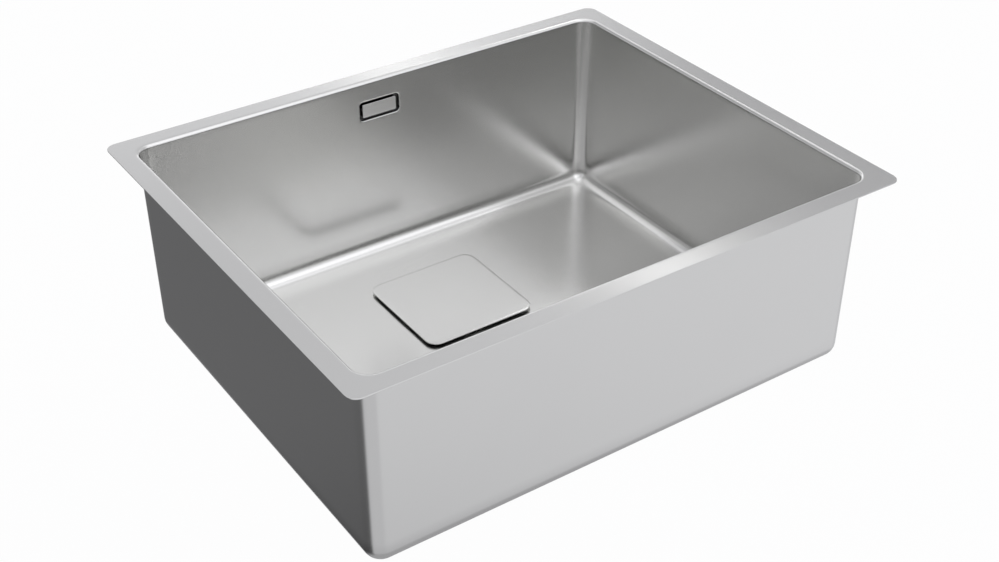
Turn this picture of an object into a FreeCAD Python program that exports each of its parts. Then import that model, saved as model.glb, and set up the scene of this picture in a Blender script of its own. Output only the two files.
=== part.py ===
import FreeCAD, Part
import math
import os
from FreeCAD import Vector

# Undermount kitchen sink: a pressed bowl with a square cover over its basket strainer, and an overflow
# in its back wall. Millimetres. The origin is the middle of the bowl's opening at the flange's top face,
# +X runs along the long side, +Y towards the overflow wall and +Z up.

# Pressed bowl, sizes inside the sheet
bowl_length = 500.0
bowl_width = 400.0
bowl_depth = 189.0
bowl_sheet = 1.0
flange_width = 20.0
flange_corner = 10.0
wall_corner = 15.0
floor_bend = 14.0
rim_bend = 2.0

# Drain recess in the bowl's floor
drain_offset = 78.0
drain_hole = 90.0
recess_land = 110.0
recess_slope = 1.6
recess_depth = 2.2

# Overflow tray, pressed outwards in the back wall
overflow_drop = 30.8
tray_length = 41.0
tray_height = 18.0
tray_corner = 4.0
tray_depth = 3.5
tray_bend = 0.5
overflow_slot_length = 31.0
overflow_slot_height = 9.0

# Sound pad glued under the floor
pad_length = 420.0
pad_width = 330.0
pad_corner = 20.0
pad_thickness = 2.0
pad_hole = 140.0

# Strainer cup, its seals and its screw
strainer_sheet = 0.8
strainer_bore = 82.0
strainer_depth = 42.0
strainer_bend = 3.0
strainer_foot = 5.0
strainer_holes = 8
strainer_hole = 9.0
strainer_hole_circle = 46.0
strainer_play = 0.6
seal_inset = 1.0
body_seal_thickness = 3.0
clamp_screw_size = 6.0
clamp_screw_length = 30.0
clamp_head = 12.0
clamp_head_height = 4.0
screw_play = 0.3
thread_play = 0.05

# Waste body
body_flange = 112.0
body_flange_thickness = 3.5
body_wall = 2.2
body_gap = 3.5
body_drop = 17.0
body_cone = 15.0
body_bend = 6.0
outlet_thread = 47.8
outlet_bore = 39.6
outlet_length = 22.0
outlet_chamfer = 1.0
boss_diameter = 17.0
boss_webs = 4
web_thickness = 2.2
web_height = 9.0
insert_diameter = 10.0
insert_length = 12.0
insert_depth = 10.0
insert_cover = 1.0

# Overflow pipe and the unions at its two ends
pipe_diameter = 22.0
pipe_wall = 2.0
pipe_bend = 40.0
pipe_standoff = 24.0
pipe_play = 0.2
inlet_drop = 8.0
inlet_reach = 76.0
spigot_thread = 30.0
spigot_grip = 12.0
spigot_length = 20.0
cone_height = 2.4
washer_rim = 2.0
nut_diameter = 38.0
nut_reach = 12.0
nut_end = 2.5
nut_play = 0.1
nut_ribs = 12
nut_rib_width = 2.4
nut_rib_height = 1.2
nut_rib_ends = 1.5

# Overflow plate, head, seal and screw
plate_length = 37.0
plate_height = 13.5
plate_corner = 1.0
plate_thickness = 1.0
plate_setback = 0.4
plate_boss = 7.0
plate_boss_length = 12.0
pip_diameter = 3.0
pip_spacing = 33.0
overflow_seal_thickness = 2.0
overflow_seal_land = 2.6
head_length = 46.0
head_height = 26.0
head_corner = 5.0
head_wall = 2.5
head_boss = 9.0
overflow_screw_size = 5.0
overflow_screw_head = 9.5
overflow_screw_head_height = 3.4
overflow_screw_grip = 8.0

# Basket, and the cover that stands in its collar
seat_gap = 0.3
basket_sheet = 0.6
basket_play = 1.6
basket_curl = 0.9
basket_taper = 2.4
basket_foot = 4.0
basket_lift = 8.4
basket_below_floor = 5.0
basket_slots = 24
basket_slot_width = 2.6
basket_slot_ends = 6.0
basket_floor_slots = 16
basket_floor_slot_width = 3.0
basket_floor_slot_ends = 2.5
stopper_diameter = 68.0
stopper_thickness = 2.2
stopper_lip = 3.0
sleeve_flange = 30.0
sleeve_flange_thickness = 1.2
sleeve_wall = 1.6
sleeve_shoulder = 22.0
sleeve_rise = 6.0
collar_grip = 22.0
collar_lip = 3.2
collar_waist = 16.8
collar_neck = 20.4
collar_foot = 26.0
collar_foot_thickness = 1.6
collar_bore_step = 2.0
collar_below_floor = 2.0
stem_diameter = 10.4
stem_play = 0.3
stem_length = 16.0
stem_chamfer = 1.0
stem_disc = 48.0
stem_disc_thickness = 1.6
ring_section = 1.6
ring_play = 0.1
cover_size = 118.0
cover_corner = 12.0
cover_thickness = 1.2
cover_edge = 0.3
cover_height = 3.8

# Screws: the pan head's straight side and flat top, and the cross recess, as shares of the head
pan_side_share = 0.4
pan_top_share = 0.7
cross_length_share = 0.55
cross_breadth_share = 0.11
cross_depth_share = 0.55

# Levels and places that follow from the sizes above
floor_z = -bowl_depth
under_z = floor_z - bowl_sheet
recess_z = floor_z - recess_depth
recess_under_z = recess_z - bowl_sheet
cup_floor_z = floor_z - strainer_depth
cup_under_z = cup_floor_z - strainer_sheet
body_top_z = recess_under_z - body_seal_thickness
body_wall_end_z = cup_under_z - body_drop
outlet_top_z = body_wall_end_z - body_cone
outlet_end_z = outlet_top_z - outlet_length
inlet_z = cup_under_z - inlet_drop
back_wall_y = bowl_width / 2
back_y = back_wall_y + bowl_sheet
tray_y = back_wall_y + tray_depth
tray_back_y = tray_y + bowl_sheet
head_front_y = tray_back_y + overflow_seal_thickness
pipe_y = back_y + pipe_standoff
head_back_y = 2 * pipe_y - head_front_y - head_wall
overflow_z = -overflow_drop
head_bottom_z = overflow_z - head_height / 2
spigot_end_z = head_bottom_z - spigot_length
inlet_end_y = drain_offset + inlet_reach
strainer_radius = strainer_bore / 2 + strainer_sheet
body_bore_radius = strainer_radius + body_gap
body_radius = body_bore_radius + body_wall
pipe_radius = pipe_diameter / 2
spigot_bore_radius = pipe_radius + pipe_play
stopper_z = cup_floor_z + seat_gap
basket_under_z = stopper_z + basket_lift
basket_floor_z = basket_under_z + basket_sheet
basket_rim_z = floor_z - basket_below_floor
collar_top_z = floor_z - collar_below_floor
cover_top_z = floor_z + cover_height
cover_under_z = cover_top_z - cover_thickness
sleeve_bore_radius = clamp_head / 2 + seat_gap
sleeve_radius = sleeve_bore_radius + sleeve_wall

up = Vector(0, 0, 1)
centre = Vector(0, 0, 0)


def outline(corners):
    """Closed wire in the XY plane through corners (x, y) or (x, y, radius), rounded where a radius is given."""
    places = [Vector(corner[0], corner[1], 0) for corner in corners]
    turns = []
    for number, corner in enumerate(corners):
        here = places[number]
        back = (places[number - 1] - here).normalize()
        ahead = (places[(number + 1) % len(corners)] - here).normalize()
        radius = corner[2] if len(corner) > 2 else 0
        if radius <= 0:
            turns.append((here, None, here))
            continue
        half_angle = back.getAngle(ahead) / 2
        reach = radius / math.tan(half_angle)
        depth = radius / math.sin(half_angle) - radius
        middle = here + (back + ahead).normalize() * depth
        turns.append((here + back * reach, middle, here + ahead * reach))
    edges = []
    for number, (start, middle, end) in enumerate(turns):
        if middle is not None:
            edges.append(Part.Arc(start, middle, end).toShape())
        following = turns[(number + 1) % len(turns)][0]
        if (following - end).Length > 1e-6:
            edges.append(Part.makeLine(end, following))
    return Part.Wire(edges)


def rounded_block(length, width, corner, bottom, top):
    """Upright block with rounded upright edges, centred on the Z axis."""
    x = length / 2
    y = width / 2
    wire = outline([(-x, -y, corner), (x, -y, corner), (x, y, corner), (-x, y, corner)])
    block = Part.Face(wire).extrude(Vector(0, 0, top - bottom))
    block.translate(Vector(0, 0, bottom))
    return block


def facing_back(block, y, z):
    """Turns a block so that its height runs along +Y from y, and lifts its middle to z."""
    turned_block = block.copy()
    turned_block.rotate(centre, Vector(1, 0, 0), -90)
    turned_block.translate(Vector(0, y, z))
    return turned_block


def turned(corners):
    """Solid of revolution about the Z axis of a profile of corners (radius, height) or (..., rounding)."""
    face = Part.Face(outline(corners))
    face.rotate(centre, Vector(1, 0, 0), 90)
    return face.revolve(centre, up, 360)


def bead(radius, section, height):
    """Ring of octagonal section about the Z axis, with its middle at the given radius and height."""
    turns = [math.radians(22.5 + 45 * number) for number in range(8)]
    return turned(
        [(radius + section * math.cos(turn), height + section * math.sin(turn)) for turn in turns]
    )


def rod(radius, bottom, top):
    """Upright cylinder on the Z axis."""
    return Part.makeCylinder(radius, top - bottom, Vector(0, 0, bottom))


def around(shape, count, first=0.0):
    """The same shape, count times around the Z axis."""
    copies = []
    for number in range(count):
        copy = shape.copy()
        copy.rotate(centre, up, first + 360.0 * number / count)
        copies.append(copy)
    return copies


def edges_within(shape, low, high):
    """Edges whose boxes lie inside the box from low to high."""
    found = []
    for edge in shape.Edges:
        box = edge.BoundBox
        inside_low = box.XMin >= low[0] and box.YMin >= low[1] and box.ZMin >= low[2]
        inside_high = box.XMax <= high[0] and box.YMax <= high[1] and box.ZMax <= high[2]
        if inside_low and inside_high:
            found.append(edge)
    return found


def level_edges(shape, z, length, width):
    """Edges at height z that lie on the outline of a length by width rectangle about the Z axis."""
    slack = 0.01
    x = length / 2
    y = width / 2
    level = edges_within(shape, (-x - slack, -y - slack, z - slack), (x + slack, y + slack, z + slack))
    return [
        edge
        for edge in level
        if max(abs(edge.BoundBox.XMin), abs(edge.BoundBox.XMax)) > x - wall_corner - slack
        or max(abs(edge.BoundBox.YMin), abs(edge.BoundBox.YMax)) > y - wall_corner - slack
    ]


def at_drain(shape):
    """Moves a piece made on the Z axis to the drain's axis."""
    shape.translate(Vector(0, drain_offset, 0))
    return shape


def tidy(shape):
    """Merges faces that continue each other and gives back the single solid."""
    merged = shape.removeSplitter()
    if len(merged.Solids) == 1:
        return merged.Solids[0]
    return merged


def make_bowl():
    """One pressed sheet: flange, rim bend, walls, floor, drain recess and overflow tray."""
    bend = min(floor_bend, wall_corner - 0.5)
    length = bowl_length + 2 * bowl_sheet
    width = bowl_width + 2 * bowl_sheet
    flange = rounded_block(
        bowl_length + 2 * flange_width, bowl_width + 2 * flange_width, flange_corner, -bowl_sheet, 0
    )
    outside = rounded_block(length, width, wall_corner + bowl_sheet, under_z, 0)
    outside = outside.makeFillet(bend + bowl_sheet, level_edges(outside, under_z, length, width))
    inside = rounded_block(bowl_length, bowl_width, wall_corner, floor_z, 0)
    inside = inside.makeFillet(bend, level_edges(inside, floor_z, bowl_length, bowl_width))
    bowl = tidy(flange.fuse(outside).cut(inside))
    bowl = bowl.makeFillet(rim_bend, level_edges(bowl, -bowl_sheet, length, width))
    bowl = bowl.makeFillet(rim_bend + bowl_sheet, level_edges(bowl, 0, bowl_length, bowl_width))
    return press_tray(press_recess(bowl))


def press_recess(bowl):
    """Round step down in the floor, with the drain hole, that lets the strainer's flange lie flush."""
    land = recess_land / 2
    edge = land + recess_slope
    seam = edge + 4 * bowl_sheet
    step = turned(
        [
            (drain_hole / 2, recess_z),
            (land, recess_z),
            (edge, floor_z),
            (seam, floor_z),
            (seam, under_z),
            (edge + bowl_sheet / 2, under_z),
            (land + bowl_sheet / 2, recess_under_z),
            (drain_hole / 2, recess_under_z),
        ]
    )
    opening = rod(seam, recess_under_z, floor_z + recess_depth)
    return tidy(bowl.cut(at_drain(opening)).fuse(at_drain(step)))


def press_tray(bowl):
    """Shallow tray pressed outwards through the back wall, with the overflow slot in its floor."""
    outer_length = tray_length + 2 * bowl_sheet
    outer_height = tray_height + 2 * bowl_sheet
    slack = 0.01
    outer = rounded_block(outer_length, outer_height, tray_corner + bowl_sheet, 0, tray_depth + bowl_sheet / 2)
    outer = outer.makeFillet(tray_bend + bowl_sheet, level_edges(
        outer, tray_depth + bowl_sheet / 2, outer_length, outer_height))
    cavity = rounded_block(tray_length, tray_height, tray_corner, 0, tray_depth + bowl_sheet)
    cavity = cavity.makeFillet(tray_bend, level_edges(
        cavity, tray_depth + bowl_sheet, tray_length, tray_height))
    bowl = bowl.fuse(facing_back(outer, back_wall_y + bowl_sheet / 2, overflow_z))
    bowl = tidy(bowl.cut(facing_back(cavity, back_wall_y - bowl_sheet, overflow_z)))
    for y, half_x, half_z, radius in (
        (back_y, outer_length / 2, outer_height / 2, tray_bend),
        (back_wall_y, tray_length / 2, tray_height / 2, tray_bend + bowl_sheet),
    ):
        low = (-half_x - slack, y - slack, overflow_z - half_z - slack)
        high = (half_x + slack, y + slack, overflow_z + half_z + slack)
        bowl = bowl.makeFillet(radius, edges_within(bowl, low, high))
    slot = rounded_block(
        overflow_slot_length, overflow_slot_height, overflow_slot_height / 2 - 0.01, 0, 3 * bowl_sheet
    )
    return tidy(bowl.cut(facing_back(slot, tray_y - bowl_sheet, overflow_z)))


def make_sound_pad():
    """Flat damping sheet under the floor, open round the waste."""
    pad = rounded_block(pad_length, pad_width, pad_corner, under_z - pad_thickness, under_z)
    hole = at_drain(rod(pad_hole / 2, under_z - 2 * pad_thickness, floor_z))
    return pad.cut(hole)


def make_strainer_cup():
    """Pressed cup whose flange lies in the recess; its floor has the outlet holes and the screw hole."""
    bore = strainer_bore / 2
    flange = recess_land / 2 - strainer_play
    hole = clamp_screw_size / 2 + screw_play
    cup = turned(
        [
            (flange, floor_z),
            (bore, floor_z, strainer_bend + strainer_sheet),
            (bore, cup_floor_z, strainer_foot),
            (hole, cup_floor_z),
            (hole, cup_under_z),
            (strainer_radius, cup_under_z, strainer_foot + strainer_sheet),
            (strainer_radius, floor_z - strainer_sheet, strainer_bend),
            (flange, floor_z - strainer_sheet),
        ]
    )
    outlet = rod(strainer_hole / 2, cup_under_z - 1, cup_floor_z + 1)
    outlet.translate(Vector(strainer_hole_circle / 2, 0, 0))
    return at_drain(cup.cut(around(outlet, strainer_holes, 180 / strainer_holes)))


def make_strainer_seal():
    """Flat ring between the strainer's flange and the recess."""
    ring = turned(
        [
            (drain_hole / 2 + seal_inset, recess_z),
            (recess_land / 2 - strainer_play, recess_z),
            (recess_land / 2 - strainer_play, floor_z - strainer_sheet),
            (drain_hole / 2 + seal_inset, floor_z - strainer_sheet),
        ]
    )
    return at_drain(ring)


def make_body_seal():
    """Thick flat ring between the recess and the waste body's flange."""
    inner = body_bore_radius + seal_inset / 2
    outer = body_flange / 2 - seal_inset
    ring = turned(
        [
            (inner, body_top_z),
            (outer, body_top_z),
            (outer, recess_under_z),
            (inner, recess_under_z),
        ]
    )
    return at_drain(ring)


def spigot(bore_depth):
    """Threaded stub along +Z whose mouth is at height 0, with a cone for the washer and a pipe socket."""
    thread = spigot_thread / 2
    stub = turned([(0, -spigot_length), (thread, -spigot_length), (thread, 0), (0, 0)])
    mouth = turned(
        [
            (0, -bore_depth),
            (spigot_bore_radius, -bore_depth),
            (spigot_bore_radius, -cone_height),
            (spigot_bore_radius + cone_height, 0),
            (spigot_bore_radius + cone_height, 1),
            (0, 1),
        ]
    )
    return stub, mouth


def at_inlet(shape):
    """Lays a piece made along +Z down along +Y, with its height 0 at the end of the waste body's inlet."""
    return facing_back(shape, inlet_end_y, inlet_z)


def at_head(shape):
    """Turns a piece made along +Z to point down, with its height 0 at the end of the head's spigot."""
    placed = shape.copy()
    placed.rotate(centre, Vector(1, 0, 0), 180)
    placed.translate(Vector(0, pipe_y, spigot_end_z))
    return placed


def make_waste_body():
    """Moulded cup round the strainer, with the clamping boss, the overflow inlet and the outlet."""
    thread = outlet_thread / 2
    bore = outlet_bore / 2
    flange_under_z = body_top_z - body_flange_thickness
    outer = turned(
        [
            (0, body_top_z),
            (body_flange / 2, body_top_z),
            (body_flange / 2, flange_under_z),
            (body_radius, flange_under_z),
            (body_radius, body_wall_end_z, body_bend),
            (thread, outlet_top_z),
            (thread, outlet_end_z + outlet_chamfer),
            (thread - outlet_chamfer, outlet_end_z),
            (0, outlet_end_z),
        ]
    )
    inner = turned(
        [
            (0, body_top_z),
            (body_bore_radius, body_top_z),
            (body_bore_radius, body_wall_end_z + body_wall / 2, body_bend - body_wall),
            (bore, outlet_top_z + body_wall / 2),
            (bore, outlet_end_z),
            (0, outlet_end_z),
        ]
    )
    stub, mouth = spigot(spigot_grip)
    stub = at_inlet(stub)
    stub.translate(Vector(0, -drain_offset, 0))
    neck = Part.makeCylinder(
        spigot_thread / 2 - 1, inlet_reach, Vector(0, 0, inlet_z), Vector(0, 1, 0)
    )
    solid = outer.fuse([stub, neck]).cut(inner)
    mouth = at_inlet(mouth)
    mouth.translate(Vector(0, -drain_offset, 0))
    passage = Part.makeCylinder(
        pipe_radius - pipe_wall, inlet_reach, Vector(0, 0, inlet_z), Vector(0, 1, 0)
    )
    solid = solid.cut([mouth, passage])
    return at_drain(tidy(solid.fuse(clamping_boss())))


def clamping_boss():
    """Boss on webs in the waste body's cone, with a pocket from below for the insert nut."""
    boss_end_z = cup_under_z - insert_depth - insert_length - insert_cover
    boss = rod(boss_diameter / 2, boss_end_z, cup_under_z)
    web = Part.makeBox(
        body_radius, web_thickness, web_height, Vector(0, -web_thickness / 2, boss_end_z)
    )
    keep = turned(
        [
            (0, body_top_z),
            (body_bore_radius + body_wall / 2, body_top_z),
            (body_bore_radius + body_wall / 2, body_wall_end_z + body_wall / 2, body_bend - body_wall),
            (outlet_bore / 2 + body_wall / 2, outlet_top_z + body_wall / 2),
            (outlet_bore / 2 + body_wall / 2, outlet_end_z),
            (0, outlet_end_z),
        ]
    )
    webs = [part.common(keep) for part in around(web, boss_webs, 180 / boss_webs)]
    hole = rod(clamp_screw_size / 2 + screw_play, boss_end_z, cup_under_z)
    pocket = rod(insert_diameter / 2 + thread_play, boss_end_z, cup_under_z - insert_depth)
    return boss.fuse(webs).cut([hole, pocket])


def make_insert_nut():
    """Brass nut that the clamping screw pulls up into the boss."""
    top = cup_under_z - insert_depth
    nut = turned(
        [
            (clamp_screw_size / 2 + thread_play, top - insert_length),
            (insert_diameter / 2, top - insert_length),
            (insert_diameter / 2, top),
            (clamp_screw_size / 2 + thread_play, top),
        ]
    )
    return at_drain(nut)


def make_screw(size, length, head, height):
    """Pan-head screw along -Z whose head stands on height 0, with a cross recess."""
    screw = turned(
        [
            (0, -length),
            (size / 2, -length),
            (size / 2, 0),
            (head / 2, 0),
            (head / 2, height * pan_side_share),
            (head / 2 * pan_top_share, height),
            (0, height),
        ]
    )
    reach = head * cross_length_share
    breadth = head * cross_breadth_share
    recess_floor = height * (1 - cross_depth_share)
    across = Part.makeBox(reach, breadth, height, Vector(-reach / 2, -breadth / 2, recess_floor))
    along = Part.makeBox(breadth, reach, height, Vector(-breadth / 2, -reach / 2, recess_floor))
    return tidy(screw.cut([across, along]))


def make_clamp_screw():
    """Screw that clamps the strainer, the bowl and the waste body together."""
    screw = make_screw(clamp_screw_size, clamp_screw_length, clamp_head, clamp_head_height)
    screw.translate(Vector(0, 0, cup_floor_z))
    return at_drain(screw)


def make_overflow_plate():
    """Bare plate in the tray, on two pips, with a boss that the screw pulls from behind."""
    front = back_wall_y + plate_setback
    plate = rounded_block(plate_length, plate_height, plate_corner, 0, plate_thickness)
    boss = rod(plate_boss / 2, plate_thickness / 2, plate_thickness + plate_boss_length)
    pip = rod(pip_diameter / 2, plate_thickness / 2, tray_depth - plate_setback)
    pips = []
    for side in (-1, 1):
        copy = pip.copy()
        copy.translate(Vector(side * pip_spacing / 2, 0, 0))
        pips.append(copy)
    bore = rod(
        overflow_screw_size / 2 + thread_play,
        plate_thickness + plate_boss_length - overflow_screw_grip - 1,
        plate_thickness + plate_boss_length,
    )
    whole = tidy(plate.fuse([boss] + pips).cut(bore))
    return facing_back(whole, front, overflow_z)


def make_overflow_seal():
    """Soft ring between the tray's back and the overflow head."""
    length = tray_length + 2 * bowl_sheet - 2 * (tray_bend + bowl_sheet)
    height = tray_height + 2 * bowl_sheet - 2 * (tray_bend + bowl_sheet)
    ring = rounded_block(length, height, tray_corner, 0, overflow_seal_thickness)
    hole = rounded_block(
        length - 2 * overflow_seal_land, height - 2 * overflow_seal_land, tray_corner / 2,
        0, overflow_seal_thickness,
    )
    return facing_back(ring.cut(hole), tray_back_y, overflow_z)


def make_overflow_head():
    """Moulded box behind the tray that turns the overflow down into a threaded spigot."""
    depth = head_back_y - head_front_y
    shell = rounded_block(head_length, head_height, head_corner, 0, depth)
    shell = shell.makeFillet(head_wall, level_edges(shell, depth, head_length, head_height))
    shell = facing_back(shell, head_front_y, overflow_z)
    stub, mouth = spigot(spigot_grip)
    collar = Part.makeCylinder(
        spigot_thread / 2, spigot_length + head_wall, Vector(0, pipe_y, spigot_end_z)
    )
    shell = shell.fuse([at_head(stub), collar])
    cavity = rounded_block(
        head_length - 2 * head_wall, head_height - 2 * head_wall, head_corner - head_wall,
        head_wall, depth - head_wall,
    )
    mouth_length = tray_length + 2 * bowl_sheet - 2 * (tray_bend + bowl_sheet + overflow_seal_land)
    mouth_height = tray_height + 2 * bowl_sheet - 2 * (tray_bend + bowl_sheet + overflow_seal_land)
    entry = rounded_block(mouth_length, mouth_height, tray_corner / 2, 0, depth / 2)
    passage = Part.makeCylinder(
        pipe_radius - pipe_wall, overflow_z - spigot_end_z, Vector(0, pipe_y, spigot_end_z)
    )
    hollow = facing_back(cavity.fuse(entry), head_front_y, overflow_z)
    shell = shell.cut([hollow, passage, at_head(mouth)])
    boss_front = plate_setback + plate_thickness + plate_boss_length + back_wall_y
    boss_length = head_back_y - head_wall / 2 - boss_front
    boss = rod(head_boss / 2, 0, boss_length)
    shell = shell.fuse(facing_back(boss, boss_front, overflow_z))
    hole = rod(overflow_screw_size / 2 + screw_play, 0, boss_length + 2 * head_wall)
    return tidy(shell.cut(facing_back(hole, boss_front, overflow_z)))


def make_overflow_screw():
    """Screw from behind the head into the plate's boss."""
    boss_front = plate_setback + plate_thickness + plate_boss_length + back_wall_y
    length = head_back_y - boss_front + overflow_screw_grip
    screw = make_screw(overflow_screw_size, length, overflow_screw_head, overflow_screw_head_height)
    return facing_back(screw, head_back_y, overflow_z)


def make_overflow_pipe():
    """Rigid pipe: down from the head, one bend, and forward under the bowl into the waste body."""
    top = Vector(0, pipe_y, spigot_end_z + spigot_grip)
    bend_start = Vector(0, pipe_y, inlet_z + pipe_bend)
    bend_end = Vector(0, pipe_y - pipe_bend, inlet_z)
    front = Vector(0, inlet_end_y - spigot_grip, inlet_z)
    slant = pipe_bend * (1 - math.sqrt(0.5))
    middle = Vector(0, pipe_y - slant, inlet_z + slant)
    path = Part.Wire(
        [
            Part.makeLine(top, bend_start),
            Part.Arc(bend_start, middle, bend_end).toShape(),
            Part.makeLine(bend_end, front),
        ]
    )
    down = Vector(0, 0, -1)
    outer = Part.Wire(Part.makeCircle(pipe_radius, top, down))
    inner = Part.Wire(Part.makeCircle(pipe_radius - pipe_wall, top, down))
    return path.makePipeShell([outer], True, False).cut(path.makePipeShell([inner], True, False))


def make_cone_washer():
    """Tapered ring that the nut presses between the pipe and the spigot's cone."""
    inner = pipe_radius + thread_play
    return turned(
        [
            (inner, -cone_height),
            (spigot_bore_radius, -cone_height),
            (spigot_bore_radius + cone_height, 0),
            (spigot_thread / 2 - 0.5, 0),
            (spigot_thread / 2 - 0.5, washer_rim),
            (inner, washer_rim),
        ]
    )


def make_union_nut():
    """Hand-tightened nut: a threaded skirt over the spigot, an end wall round the pipe, and grip ribs."""
    radius = nut_diameter / 2
    thread = spigot_thread / 2 + nut_play
    top = washer_rim + nut_end
    nut = turned(
        [
            (thread, -nut_reach),
            (radius, -nut_reach),
            (radius, top),
            (pipe_radius + pipe_play, top),
            (pipe_radius + pipe_play, washer_rim),
            (thread, washer_rim),
        ]
    )
    rib = Part.makeBox(
        nut_end + nut_rib_height, nut_rib_width, nut_reach + top - 2 * nut_rib_ends,
        Vector(radius - nut_end, -nut_rib_width / 2, nut_rib_ends - nut_reach),
    )
    return tidy(nut.fuse(around(rib, nut_ribs)))


def make_basket_cup():
    """Pressed cup with a curled rim, slots round its wall and radial slots in its floor."""
    rim = strainer_bore / 2 - basket_play - basket_curl
    wall_top = rim - basket_curl
    wall_bottom = wall_top - basket_taper
    hole = sleeve_radius + thread_play
    cup = turned(
        [
            (wall_top - basket_sheet, basket_rim_z),
            (wall_bottom - basket_sheet, basket_floor_z, basket_foot - basket_sheet),
            (hole, basket_floor_z),
            (hole, basket_under_z),
            (wall_bottom, basket_under_z, basket_foot),
            (wall_top, basket_rim_z),
        ]
    )
    cup = tidy(cup.fuse(bead(wall_top - basket_sheet / 2 + basket_curl / 2, basket_curl, basket_rim_z)))
    slot_foot = basket_floor_z + basket_slot_ends
    slot = Part.makeBox(
        3 * basket_taper, basket_slot_width, basket_rim_z - basket_slot_ends - slot_foot,
        Vector(wall_bottom - basket_taper, -basket_slot_width / 2, slot_foot),
    )
    start = collar_foot / 2 + basket_floor_slot_ends
    end = wall_bottom - basket_foot - basket_floor_slot_ends
    floor_slot = Part.makeBox(
        end - start, basket_floor_slot_width, 3 * basket_sheet,
        Vector(start, -basket_floor_slot_width / 2, basket_under_z - basket_sheet),
    )
    return at_drain(cup.cut(around(slot, basket_slots) + around(floor_slot, basket_floor_slots)))


def make_basket_collar():
    """Waisted post on the basket's floor: fingers lift it, and the cover's stem stands in its bore."""
    socket = sleeve_radius + thread_play
    bore = stem_diameter / 2 + stem_play
    bore_z = collar_top_z - stem_length - 1
    shoulder_z = basket_floor_z + sleeve_rise + thread_play
    collar = turned(
        [
            (socket, basket_floor_z),
            (collar_foot / 2, basket_floor_z),
            (collar_foot / 2, basket_floor_z + collar_foot_thickness),
            (collar_neck / 2, basket_floor_z + collar_foot_thickness),
            (collar_neck / 2, shoulder_z),
            (collar_waist / 2, (shoulder_z + collar_top_z) / 2),
            (collar_grip / 2, collar_top_z - collar_lip),
            (collar_grip / 2, collar_top_z),
            (bore, collar_top_z),
            (bore, bore_z),
            (bore - collar_bore_step, bore_z),
            (bore - collar_bore_step, shoulder_z),
            (socket, shoulder_z),
        ]
    )
    return at_drain(collar)


def make_basket_sleeve():
    """Stepped bush under the basket that holds the stopper and slips over the clamping screw's head."""
    top = basket_floor_z + sleeve_rise
    flange_top = stopper_z + sleeve_flange_thickness
    sleeve = turned(
        [
            (sleeve_bore_radius, stopper_z),
            (sleeve_flange / 2, stopper_z),
            (sleeve_flange / 2, flange_top),
            (sleeve_radius, flange_top),
            (sleeve_radius, flange_top + stopper_thickness),
            (sleeve_shoulder / 2, flange_top + stopper_thickness),
            (sleeve_shoulder / 2, basket_under_z),
            (sleeve_radius, basket_under_z),
            (sleeve_radius, top),
            (sleeve_bore_radius, top),
        ]
    )
    return at_drain(sleeve)


def make_basket_stopper():
    """Soft disc that closes the strainer's holes, with a lip that drops to the cup's floor."""
    flange_top = stopper_z + sleeve_flange_thickness
    top = flange_top + stopper_thickness
    outer = stopper_diameter / 2
    disc = turned(
        [
            (sleeve_radius + thread_play, flange_top),
            (outer - 2 * stopper_lip, flange_top),
            (outer - stopper_lip, stopper_z),
            (outer, stopper_z),
            (outer, flange_top + stopper_thickness / 2),
            (outer - stopper_lip, top),
            (sleeve_radius + thread_play, top),
        ]
    )
    return at_drain(disc)


def ring_groove():
    """Height and depth of the groove that holds the ring on the cover's stem."""
    middle = collar_top_z - stem_length / 2
    radius = stem_diameter / 2 + stem_play - ring_play - ring_section / 2
    return middle, radius


def make_cover_plate():
    """Square plate with rounded corners and broken edges."""
    plate = rounded_block(cover_size, cover_size, cover_corner, cover_under_z, cover_top_z)
    rims = level_edges(plate, cover_top_z, cover_size, cover_size)
    rims += level_edges(plate, cover_under_z, cover_size, cover_size)
    return at_drain(plate.makeChamfer(cover_edge, rims))


def make_cover_stem():
    """Disc bonded under the cover, a shoulder that sits on the collar, and a stem with a ring groove."""
    groove_z, groove = ring_groove()
    half = ring_section / 2 + thread_play
    shoulder_z = collar_top_z + seat_gap
    tip = collar_top_z - stem_length
    stem = turned(
        [
            (0, tip),
            (stem_diameter / 2 - stem_chamfer, tip),
            (stem_diameter / 2, tip + stem_chamfer),
            (stem_diameter / 2, groove_z - half),
            (groove - half, groove_z - half),
            (groove - half, groove_z + half),
            (stem_diameter / 2, groove_z + half),
            (stem_diameter / 2, shoulder_z),
            (collar_grip / 2, shoulder_z),
            (collar_grip / 2, cover_under_z - stem_disc_thickness),
            (stem_disc / 2, cover_under_z - stem_disc_thickness),
            (stem_disc / 2, cover_under_z),
            (0, cover_under_z),
        ]
    )
    return at_drain(stem)


def make_cover_ring():
    """Round soft ring in the stem's groove that keeps the cover from rattling."""
    groove_z, groove = ring_groove()
    return at_drain(bead(groove, ring_section / 2, groove_z))


pieces = {
    "bowl": make_bowl(),
    "sound_pad": make_sound_pad(),
    "strainer_cup": make_strainer_cup(),
    "strainer_seal": make_strainer_seal(),
    "body_seal": make_body_seal(),
    "waste_body": make_waste_body(),
    "insert_nut": make_insert_nut(),
    "clamp_screw": make_clamp_screw(),
    "overflow_plate": make_overflow_plate(),
    "overflow_seal": make_overflow_seal(),
    "overflow_head": make_overflow_head(),
    "overflow_screw": make_overflow_screw(),
    "overflow_pipe": make_overflow_pipe(),
    "head_cone_washer": at_head(make_cone_washer()),
    "head_union_nut": at_head(make_union_nut()),
    "inlet_cone_washer": at_inlet(make_cone_washer()),
    "inlet_union_nut": at_inlet(make_union_nut()),
    "basket_cup": make_basket_cup(),
    "basket_collar": make_basket_collar(),
    "basket_sleeve": make_basket_sleeve(),
    "basket_stopper": make_basket_stopper(),
    "cover_plate": make_cover_plate(),
    "cover_stem": make_cover_stem(),
    "cover_ring": make_cover_ring(),
}

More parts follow.
